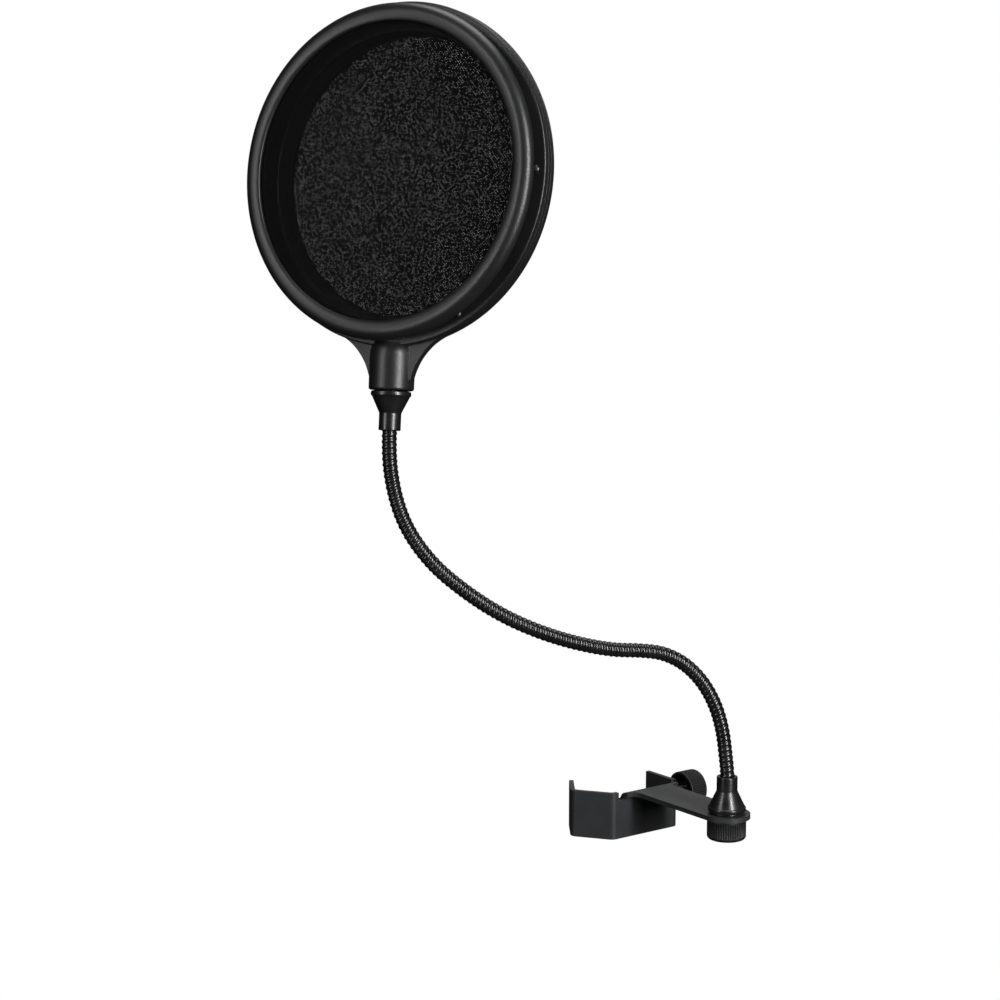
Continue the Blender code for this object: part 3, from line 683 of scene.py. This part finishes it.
def strip_path():
    apex_x = -(STAND_R + SHEET / 2) / math.sin(JAW_ANGLE)
    run = Vector((math.cos(JAW_ANGLE), math.sin(JAW_ANGLE)))
    rear_end = Vector((apex_x, 0)) + run * JAW_REAR_LEG
    front_bend_x = apex_x - SIDE_PLATE_Y / math.tan(JAW_ANGLE)
    corners = [
        (*rear_end, 0),
        (apex_x, 0, BEND_R),
        (front_bend_x, SIDE_PLATE_Y, BEND_R),
        (END_PLATE_X, SIDE_PLATE_Y, BEND_R),
        (END_PLATE_X, END_PLATE_TOP_Y, 0),
    ]
    return [Vector(p) for p in rounded(corners, closed=False, steps=14)]


def sheet_outline(path):
    """The outline of a bent sheet around its middle line."""
    left, right = [], []
    for i, here in enumerate(path):
        run = (path[min(i + 1, len(path) - 1)] - path[max(i - 1, 0)]).normalized()
        side = Vector((-run.y, run.x)) * (SHEET / 2)
        left.append(tuple(here + side))
        right.append(tuple(here - side))
    return left + right[::-1]


def tab_outline():
    left, right = TAB_X - TAB_W / 2, TAB_X + TAB_W / 2
    fold_y = SIDE_PLATE_Y - TAB_FOLD_R - 0.3 * MM
    flare_y = SIDE_PLATE_Y - SHEET / 2 - TAB_FLARE_R
    reach = math.degrees(math.acos((fold_y - flare_y) / TAB_FLARE_R))
    near = arc((left - TAB_FLARE_R, flare_y), TAB_FLARE_R, TAB_FLARE_R, 90 - reach, 0, 14)
    far = arc((right + TAB_FLARE_R, flare_y), TAB_FLARE_R, TAB_FLARE_R, 180, 90 + reach, 14)
    end = arc((TAB_X, TAB_END_Y), TAB_W / 2, TAB_W / 2, 180, 360, 48)
    return near + end + far


def bracket(material):
    """The clamp's bent strip with its folded tab, holes and relief notches, and its edges rounded."""
    half = STRIP_H / 2
    strip = prism_mesh("strip", sheet_outline(strip_path()), -half, half)
    near_y, far_y = SIDE_PLATE_Y - SHEET, SIDE_PLATE_Y + SHEET
    tab_z = half - SHEET / 2
    window = prism_mesh(
        "window",
        [(FOLD_X[0], near_y), (FOLD_X[1], near_y), (FOLD_X[1], far_y), (FOLD_X[0], far_y)],
        half - TAB_FOLD_R - SHEET / 2,
        STRIP_H,
    )
    fold_path = [
        (SIDE_PLATE_Y, NOTCH_Z - 2 * NOTCH_R, 0),
        (SIDE_PLATE_Y, tab_z, TAB_FOLD_R),
        (SIDE_PLATE_Y - 5.0 * MM, tab_z, 0),
    ]
    fold_line = [Vector(p) for p in rounded(fold_path, closed=False, steps=14)]
    fold = prism_mesh("fold", sheet_outline(fold_line), *FOLD_X, axis="X")
    tab = prism_mesh("tab", tab_outline(), half - SHEET, half)
    notches = []
    for x in (FOLD_X[0] - NOTCH_R, FOLD_X[1] + NOTCH_R):
        foot = arc((x, NOTCH_Z), NOTCH_R, NOTCH_R, 180, 360, 16)
        outline = foot + [(x + NOTCH_R, STRIP_H), (x - NOTCH_R, STRIP_H)]
        notches.append(prism_mesh("notch", outline, near_y, far_y, axis="Y"))
    stud_hole = lathe("stud_hole", rod_profile(STUD_HOLE_R, 0, STRIP_H), 48)
    stud_hole.transform(Matrix.Translation((TAB_X, TAB_END_Y, 0)))
    through = rod_profile(SCREW_HOLE_R, END_PLATE_X - SHEET, END_PLATE_X + SHEET)
    screw_hole = lathe("screw_hole", through, 40, "X")
    cutters = [(m, "DIFFERENCE") for m in (*notches, stud_hole, screw_hole)]
    steps = [(window, "DIFFERENCE"), (fold, "UNION"), (tab, "UNION"), *cutters]
    obj = combined("bracket", strip, steps, material)
    bevelled(obj, EDGE)
    show(obj, "clamp", "powder_coat", "clamp_bracket")


def hex_nut(name, across_flats, low, high, bore_r, material, axis="Z"):
    """A chamfered hexagon nut."""
    turns = 120
    angle = np.arange(turns) * TAU / turns
    flat = across_flats / 2 / np.cos((angle + math.pi / 6) % (math.pi / 3) - math.pi / 6)
    face_r = across_flats / 2 * 0.96
    slope = math.tan(math.radians(28))
    rows = []
    for z, way in ((low, 1), (high, -1)):
        side = np.minimum(flat, face_r)
        drop = (flat - side) * slope
        outer = (flat, z + way * drop)
        inner = (np.full(turns, bore_r + 0.35 * MM), np.full(turns, z))
        bore = (np.full(turns, bore_r), np.full(turns, z + way * 0.35 * MM))
        rows.append([bore, inner, (side, np.full(turns, z)), outer])
    order = rows[0] + rows[1][::-1]
    places = {"Z": (0, 1, 2), "X": (2, 0, 1)}[axis]
    points = np.array([np.stack([r * np.cos(angle), r * np.sin(angle), z], 1)[:, places] for r, z in order])
    return new_object(name, grid_mesh(name, points, wrap_rows=True), material, sharp=25.0)


def clamp_nut(metal):
    low, high = (c.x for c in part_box("clamp_nut"))
    nut = hex_nut("weld_nut", SCREW_NUT_AF, low - 0.1 * MM, high, SCREW_NUT_BORE_R, metal, "X")
    show(nut, "clamp", "screw_steel", "clamp_nut")


def thumbscrew_rod(metal):
    low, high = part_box("clamp_screw")
    line = np.array([(x, 0, 0) for x in np.linspace(low.x, high.x, 40)])
    outline = thread_radius(2.95 * MM, 0.55 * MM)
    mesh = wound("thumbscrew_rod", stations(line, 0.1 * MM), 1.0 * MM, outline, turns=28)
    rod = new_object("thumbscrew_rod", mesh, metal, sharp=60.0)
    show(rod, "thumbscrew", "screw_steel", "clamp_screw")


def grip_between(radius, low, high):
    """The share of a grip's ribs at a radius and height: all of it on the rim between two heights."""

    def share(r, height):
        return float(r > radius - 0.3 * MM and low < height < high)

    return share


def knob(plastic):
    """The thumbscrew's knob: a ribbed rim, a dished end, and a deep recess around its hub."""
    near, far = (c.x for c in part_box("clamp_knob"))
    floor, hub, end = near + KNOB_RECESS_D, near + 2.5 * MM, near + KNOB_SOCKET_D
    corners = [
        (0, far - 0.4 * MM, 0),
        (5.0 * MM, far - 0.4 * MM, 0.6 * MM),
        (6.0 * MM, far, 0.8 * MM),
        (KNOB_R, far, 2.0 * MM),
        (KNOB_R, near, 0.5 * MM),
        (8.9 * MM, near, 0.4 * MM),
        (8.6 * MM, floor, 0.8 * MM),
        (4.9 * MM, floor, 0.6 * MM),
        (4.6 * MM, hub, 0.5 * MM),
        (3.1 * MM, hub, 0.2 * MM),
        (3.1 * MM, end, 0),
        (0, end, 0),
    ]
    profile = rounded(corners, closed=False, steps=6)
    edge = [i for i, (r, x) in enumerate(profile) if r > KNOB_R - 1e-6]
    profile[edge[0] + 1 : edge[0] + 1] = [
        (KNOB_R, far - 2.05 * MM),
        (KNOB_R, far - 2.4 * MM),
        (KNOB_R, near + 1.5 * MM),
        (KNOB_R, near + 1.0 * MM),
    ]
    grip = grip_between(KNOB_R, near + 1.2 * MM, far - 1.9 * MM)
    turns = 9 * GRIP_RIBS
    mesh = lathe("knob", profile, turns, "X", rib=(ribs(turns, GRIP_RIBS, GRIP_DEPTH, 0.6), grip))
    obj = new_object("knob", mesh, plastic, sharp=50.0)
    show(obj, "thumbscrew", "knob_plastic", "clamp_knob")


def pressure_pad(plastic):
    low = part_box("pressure_pad")[0].x
    corners = [
        (0, low, 0),
        (PAD_R, low, 0.7 * MM),
        (PAD_R, low + 3.0 * MM, 0.5 * MM),
        (5.0 * MM, low + 3.0 * MM, 0.6 * MM),
        (5.0 * MM, low + 6.0 * MM, 0.5 * MM),
        (3.3 * MM, low + 6.0 * MM, 0.3 * MM),
        (3.3 * MM, low + 1.8 * MM, 0),
        (0, low + 1.8 * MM, 0),
    ]
    mesh = lathe("pad", rounded(corners, closed=False), 72, "X")
    show(new_object("pad", mesh, plastic), "pad", "knob_plastic", "pressure_pad")


def tab_washers(lacquer, metal):
    """The thin washer under the lower collar, and the one between the tab and its nut."""
    for name, body, slot, material, outer in (
        ("collar_washer", "gooseneck_base", "black_metal", lacquer, 9.0 * MM),
        ("tab_washer", "stud_washer", "screw_steel", metal, 7.5 * MM),
    ):
        low, high = (c.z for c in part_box(name))
        edge = min(0.2 * MM, (high - low) / 3)
        corners = [
            (outer, low, edge),
            (outer, high, edge),
            (STUD_BORE_R, high, 0),
            (STUD_BORE_R, low, 0),
        ]
        mesh = lathe(name + "_disc", rounded(corners, steps=3), 96)
        show(new_object(name + "_disc", mesh, material, STUD_AXIS), body, slot, name)


def tab_nut(plastic):
    """The ribbed nut under the tab, with a dished foot and a recess for its washer."""
    low, high = (c.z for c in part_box("tab_nut"))
    floor = high - 2.0 * MM
    corners = [
        (0, low + 0.3 * MM, 0),
        (5.5 * MM, low + 0.3 * MM, 0.5 * MM),
        (6.3 * MM, low, 0.6 * MM),
        (TAB_NUT_R, low, 1.9 * MM),
        (TAB_NUT_R, high, 0.45 * MM),
        (7.8 * MM, high, 0.2 * MM),
        (7.8 * MM, floor, 0),
        (STUD_BORE_R, floor, 0),
        (STUD_BORE_R, low + 2.0 * MM, 0),
        (0, low + 2.0 * MM, 0),
    ]
    profile = rounded(corners, closed=False, steps=6)
    edge = [i for i, (r, _) in enumerate(profile) if r > TAB_NUT_R - 1e-6]
    profile[edge[0] + 1 : edge[0] + 1] = [
        (TAB_NUT_R, low + 2.0 * MM),
        (TAB_NUT_R, low + 2.3 * MM),
        (TAB_NUT_R, high - 1.4 * MM),
        (TAB_NUT_R, high - 1.1 * MM),
    ]
    grip = grip_between(TAB_NUT_R, low + 2.1 * MM, high - 1.2 * MM)
    turns = 10 * GRIP_RIBS
    mesh = lathe("stud_nut", profile, turns, rib=(ribs(turns, GRIP_RIBS, GRIP_DEPTH, 0.6), grip))
    nut = new_object("stud_nut", mesh, plastic, STUD_AXIS, sharp=50.0)
    show(nut, "stud_nut", "knob_plastic", "tab_nut")


# ---------------------------------------------------------------- head


def head_piece(name, mesh, material, slot, *nodes, sharp=28.0):
    return show(new_object(name, mesh, material, HEAD, sharp), "head", slot, *nodes)


def front_ring(plastic):
    """The front ring: a bullnose rim, open at the back for its screen and hoop."""
    rim, lip = FRONT_RING_R - FRONT_CROWN_R, FRONT_CROWN_R - FRONT_OPENING_R
    outer = arc((FRONT_CROWN_R, -13.8 * MM), rim, 5.0 * MM, 0, -90, 18)
    inner = arc((FRONT_CROWN_R, -17.4 * MM), lip, 1.4 * MM, -90, -180, 12)
    corners = [
        (FRONT_RING_R, FRONT_BACK_Y, 0.9 * MM),
        *plain(outer),
        *plain(inner[1:]),
        (FRONT_OPENING_R, FRONT_SEAT_Y, 0.3 * MM),
        (FRONT_SEAT_R, FRONT_SEAT_Y, 0.15 * MM),
        (FRONT_SEAT_R, FRONT_BACK_Y, 0.35 * MM),
    ]
    mesh = lathe("ring_front", rounded(corners), RING_TURNS, "Y")
    head_piece("ring_front", mesh, plastic, "ring_plastic", "front_ring")


def spacer_posts(plastic):
    """Six short posts between the rings, flared where they meet them."""
    low, high = FRONT_BACK_Y + 0.04 * MM, REAR_FRONT_Y - 0.04 * MM
    corners = [
        (0, low, 0),
        (POST_R + 0.8 * MM, low, 0),
        (POST_R, low + 0.9 * MM, 1.0 * MM),
        (POST_R, high - 0.9 * MM, 1.0 * MM),
        (POST_R + 0.8 * MM, high, 0),
        (0, high, 0),
    ]
    for i in range(6):
        angle = TAU * i / 6
        mesh = lathe(f"post_{i + 1}", rounded(corners, closed=False), 32, "Y")
        place = (POST_CIRCLE_R * math.cos(angle), 0, POST_CIRCLE_R * math.sin(angle))
        mesh.transform(Matrix.Translation(place))
        head_piece(f"post_{i + 1}", mesh, plastic, "ring_plastic", f"spacer_pin_{i + 1}", sharp=35.0)


def screen(name, y, radius, net, node):
    """A nylon disc stretched over its seat, with slight waves from its tension."""
    rings, turns = 48, 144
    points = [(0.0, y, 0.0)]
    for k in range(1, rings + 1):
        r = radius * k / rings
        for i in range(turns):
            a = TAU * i / turns
            wave = math.sin(3 * a + 1.3) * 0.05 + math.sin(5 * a) * 0.03
            points.append((r * math.cos(a), y + wave * MM * (r / radius) ** 2, r * math.sin(a)))
    faces = [(0, 1 + i, 1 + (i + 1) % turns) for i in range(turns)]
    for k in range(rings - 1):
        low, high = 1 + k * turns, 1 + (k + 1) * turns
        for i in range(turns):
            j = (i + 1) % turns
            faces.append((low + i, high + i, high + j, low + j))
    mesh = bpy.data.meshes.new(name)
    mesh.from_pydata(points, [], faces)
    obj = head_piece(name, mesh, net, "black_nylon", node)


def flare_edge(share):
    """The web's outline at a share of the way from the boss's foot up to the ring: (x, z)."""
    centre_z = -math.sqrt((REAR_RING_R + WEB_FLARE_R) ** 2 - WEB_FLARE_X**2)
    foot = math.asin((BOSS_BOTTOM_Z + BOSS_EDGE_R - centre_z) / WEB_FLARE_R)
    tangent = math.atan2(-centre_z, WEB_FLARE_X)
    angle = foot + (tangent - foot) * share
    return WEB_FLARE_X - WEB_FLARE_R * math.cos(angle), centre_z + WEB_FLARE_R * math.sin(angle)


def soft_max(a, b, k):
    """The larger of two depths, with a fillet of about this size between them."""
    return (a + b + np.sqrt((a - b) ** 2 + k**2)) / 2


def neck_depth(x, z, edge_x, edge_r):
    """How far the neck stands out of the seam: the round boss with its domed top, and the web beside it."""
    grown = min(max((edge_x - BOSS_R) / (0.8 * MM), 0), 1)
    share = grown * grown * (3 - 2 * grown)
    fall = np.clip(np.abs(x) - (edge_x - edge_r), 0, edge_r)
    web = WEB * share - (edge_r - np.sqrt(np.clip(edge_r**2 - fall**2, 0, None)))
    up = np.clip(z - BOSS_DOME_Z, 0, None)
    boss = np.sqrt(np.clip(BOSS_R**2 - x**2 - up**2, 0, None))
    return soft_max(web, boss, FILLET * share)


def neck_mesh(name, way, edge_r):
    """One half of the web and boss, from the seam out: way is -1 for the front and 1 for the back."""
    across = np.sin(np.linspace(-math.pi / 2, math.pi / 2, 81)) * BOSS_R
    beyond = np.linspace(0, 1, 19)[1:]
    low_z = BOSS_BOTTOM_Z + BOSS_EDGE_R
    turns = [math.pi / 2 * i / 5 for i in range(5)]
    foot = [(0.0, BOSS_EDGE_R * (1 - math.sin(t)), BOSS_EDGE_R * math.cos(t)) for t in turns]
    rows = []
    for share, inset, drop in foot + [(share, 0.0, 0.0) for share in np.linspace(0, 1, 90)]:
        edge_x, edge_z = flare_edge(share)
        edge_x = max(edge_x, BOSS_R + 0.05 * MM)
        outer = BOSS_R + (edge_x - BOSS_R) * beyond
        x = np.concatenate([-outer[::-1], across, outer])
        middle_z = low_z + (NECK_TOP_Z - low_z) * share
        z = middle_z + (edge_z - middle_z) * (x / edge_x) ** 2
        shrink = 1 - inset / BOSS_R
        depth = neck_depth(x, z, edge_x, edge_r) * shrink
        x = x * shrink
        face = np.stack([x, way * np.maximum(depth, SEAM), z - drop], 1)
        ends = [[x[k], way * SEAM / 2, face[k, 2]] for k in (-1, 0)]
        rows.append(np.concatenate([face, ends]))
    return grid_mesh(name, rows)


def frame_front_half(plastic):
    """The front half of the rear frame, with a fine groove round its rim, and its half of the neck."""
    seam = SEAM / 2
    corners = [
        (REAR_RING_R, -seam, 0.15 * MM),
        (REAR_OPENING_R, -seam, 0.1 * MM),
        (REAR_OPENING_R, REAR_FRONT_Y, 0.9 * MM),
        (REAR_RING_R, REAR_FRONT_Y, 1.0 * MM),
        (REAR_RING_R, GROOVE_Y - 0.2 * MM, 0.08 * MM),
        (REAR_RING_R - 0.3 * MM, GROOVE_Y, 0),
        (REAR_RING_R, GROOVE_Y + 0.2 * MM, 0.08 * MM),
    ]
    ring = lathe("half", rounded(corners), RING_TURNS, "Y")
    neck = neck_mesh("neck", -1, 0.4 * MM)
    obj = combined("frame_front_half", ring, [(neck, "UNION")], plastic, HEAD)
    show(obj, "head", "ring_plastic", "rear_frame_front")


def frame_back_half(plastic):
    """The back half of the rear frame, with counterbores for its screws, and its half of the neck."""
    seam = SEAM / 2
    rim, lip = REAR_RING_R - REAR_CROWN_R, REAR_CROWN_R - REAR_OPENING_R
    outer = arc((REAR_CROWN_R, 0.4 * MM), rim, 10.0 * MM, 0, 90, 24)
    inner = arc((REAR_CROWN_R, 8.8 * MM), lip, 1.6 * MM, 90, 180, 12)
    corners = [
        (REAR_RING_R, seam, 0.15 * MM),
        *plain(outer),
        *plain(inner[1:]),
        (REAR_OPENING_R, REAR_SEAT_Y, 0.2 * MM),
        (REAR_SEAT_R, REAR_SEAT_Y, 0.1 * MM),
        (REAR_SEAT_R, seam, 0.1 * MM),
    ]
    ring = lathe("half", rounded(corners), RING_TURNS, "Y")
    steps = [(neck_mesh("neck", 1, 0.4 * MM), "UNION")]
    for x, z, seat in screw_places():
        way = lathe("way", rod_profile(COUNTERBORE_R, seat, seat + 8 * MM), 40, "Y")
        way.transform(Matrix.Translation((x, 0, z)))
        steps.append((way, "DIFFERENCE"))
    obj = combined("frame_back_half", ring, steps, plastic, HEAD)
    show(obj, "head", "ring_plastic", "rear_frame_back")


def screw_places():
    """(x, z, y of the head's seat) of each small screw, in the head's axes."""
    to_head = HEAD.inverted()
    places = [(to_head @ middle(name), seat) for name, seat in SMALL_SCREWS.items()]
    return [(place.x, place.z, seat) for place, seat in places]


def small_screws(metal):
    """Pan-head screws with a cross recess, down in the counterbores of the rear half."""
    for name, (x, z, seat) in zip(SMALL_SCREWS, screw_places()):
        corners = [
            (0, seat - 6 * MM, 0),
            (SMALL_SCREW_R, seat - 6 * MM, 0.3 * MM),
            (SMALL_SCREW_R, seat + 0.05 * MM, 0),
            (SMALL_SCREW_HEAD_R, seat + 0.05 * MM, 0.1 * MM),
            (SMALL_SCREW_HEAD_R, seat + 1.0 * MM, 0.6 * MM),
            (0, seat + 1.7 * MM, 0),
        ]
        body = lathe(name, rounded(corners, closed=False), 40, "Y")
        top = seat + 0.7 * MM
        arms = []
        for across, along_z in ((1.5, 0.3), (0.3, 1.5)):
            box = [(s * across * MM, t * along_z * MM) for s, t in ((-1, -1), (1, -1), (1, 1), (-1, 1))]
            arms.append((prism_mesh("arm", box, top, top + 3 * MM, axis="Y"), "DIFFERENCE"))
        place = HEAD @ Matrix.Translation((x, 0, z))
        obj = combined(name + "_pan", body, arms, metal, place)
        show(obj, "head", "screw_steel", name)


# ---------------------------------------------------------------- stage


def area_light(name, place, target, size, power):
    data = bpy.data.lights.new(name, "AREA")
    data.shape = "RECTANGLE"
    data.size, data.size_y = size
    data.energy = power
    obj = bpy.data.objects.new(name, data)
    bpy.context.scene.collection.objects.link(obj)
    obj.location = place
    obj.rotation_euler = (Vector(target) - Vector(place)).to_track_quat("-Z", "Y").to_euler()
    obj.visible_camera = False


def around(azimuth, distance, height):
    """A point round the object: azimuth 0 is towards the camera, and positive is to its right."""
    centre = Vector((-0.06, -0.04, 0))
    angle = LOOK_AZIMUTH + math.radians(azimuth)
    return centre + Vector((math.sin(angle) * distance, -math.cos(angle) * distance, height))


def studio():
    world = bpy.data.worlds.new("studio")
    bpy.context.scene.world = world
    world.use_nodes = True
    tree = world.node_tree
    back = tree.nodes["Background"]
    back.inputs["Color"].default_value = (1, 1, 1, 1)
    back.inputs["Strength"].default_value = 0.015
    white = tree.nodes.new("ShaderNodeBackground")
    white.inputs["Color"].default_value = (1, 1, 1, 1)
    path = tree.nodes.new("ShaderNodeLightPath")
    mix = tree.nodes.new("ShaderNodeMixShader")
    tree.links.new(path.outputs["Is Camera Ray"], mix.inputs["Fac"])
    tree.links.new(back.outputs[0], mix.inputs[1])
    tree.links.new(white.outputs[0], mix.inputs[2])
    tree.links.new(mix.outputs[0], tree.nodes["World Output"].inputs["Surface"])

    target = (-0.08, -0.04, 0.22)
    area_light("left_box", around(-52, 1.5, 0.60), target, (0.30, 1.4), 9)
    area_light("right_box", around(38, 1.5, 0.60), target, (0.26, 1.4), 36)
    area_light("top_box", around(170, 0.3, 1.7), target, (1.0, 1.0), 13)
    area_light("back_box", around(172, 1.7, 0.80), target, (1.4, 0.6), 2)


def floor():
    mesh = bpy.data.meshes.new("floor")
    side = 12.0
    corners = [(-side, -side, 0), (side, -side, 0), (side, side, 0), (-side, side, 0)]
    mesh.from_pydata(corners, [], [(0, 1, 2, 3)])
    n = Nodes("floor")
    n.set(Base_Color=(0.05, 0.05, 0.05, 1), Roughness=1.0, Specular_IOR_Level=0.0)
    glow = n.add("ShaderNodeEmission")
    path = n.add("ShaderNodeLightPath")
    mix = n.add("ShaderNodeMixShader")
    n.link(path.outputs["Is Camera Ray"], mix.inputs["Fac"])
    n.link(n.shader.outputs[0], mix.inputs[1])
    n.link(glow.outputs[0], mix.inputs[2])
    n.link(mix.outputs[0], n.tree.nodes["Material Output"].inputs["Surface"])
    obj = new_object("floor", mesh, n.material)
    obj.location = (0, 0, -0.9)


def camera():
    data = bpy.data.cameras.new("camera")
    data.lens = LENS
    obj = bpy.data.objects.new("camera", data)
    bpy.context.scene.collection.objects.link(obj)
    obj.location = EYE
    obj.rotation_euler = (math.pi / 2 - LOOK_DOWN, 0, LOOK_AZIMUTH)
    bpy.context.scene.camera = obj


def paint(names, material):
    """Gives kept CAD nodes their finished material."""
    for name in names:
        slots = frame["nodes"][name].data.materials
        slots.clear()
        slots.append(material)


def main():
    bpy.context.scene.view_settings.view_transform = "Standard"
    for obj in [o for o in bpy.data.objects if o.name in ("Cube", "Light", "Camera")]:
        bpy.data.objects.remove(obj)
    camera()
    studio()
    floor()

    ring = moulded_plastic(
        "ring_plastic", (0.009, 0.0092, 0.0094), (0.013, 0.0132, 0.0135), 0.36, 0.75 * MM
    )
    grip = moulded_plastic("knob_plastic", (0.003, 0.003, 0.003), (0.005, 0.005, 0.0051), 0.52, 0.40 * MM)
    lacquer = glossy_paint("black_metal", (0.006, 0.006, 0.0063), 0.28)
    coil = glossy_paint("coil_lacquer", (0.005, 0.0051, 0.0053), 0.25, 0.01 * MM)
    steel = dark_steel()

    front_ring(ring)
    spacer_posts(ring)
    frame_front_half(ring)
    frame_back_half(ring)
    small_screws(steel)
    front_net = nylon_mesh("front_net", 10.0, 0.30 * MM, 0.0, 0.1)
    rear_net = nylon_mesh("rear_net", 38.0, 1.15 * MM, 0.30, 1.35)
    screen("net_front", *FRONT_SCREEN, front_net, "front_screen")
    screen("net_rear", *REAR_SCREEN, rear_net, "rear_screen")
    paint(["front_screen_hoop", "rear_screen_hoop"], ring)
    paint(["neck_nut", "upper_stud", "lower_stud"], steel)

    end_collar("upper_collar", "gooseneck_8_body", TOP, UPPER_COLLAR_L, lacquer)
    end_collar("lower_collar", "gooseneck_base", BASE, LOWER_COLLAR_L, lacquer)
    gooseneck(coil)

    bracket(powder_coat())
    clamp_nut(steel)
    thumbscrew_rod(steel)
    knob(grip)
    pressure_pad(grip)
    tab_washers(lacquer, steel)
    tab_nut(grip)


main()
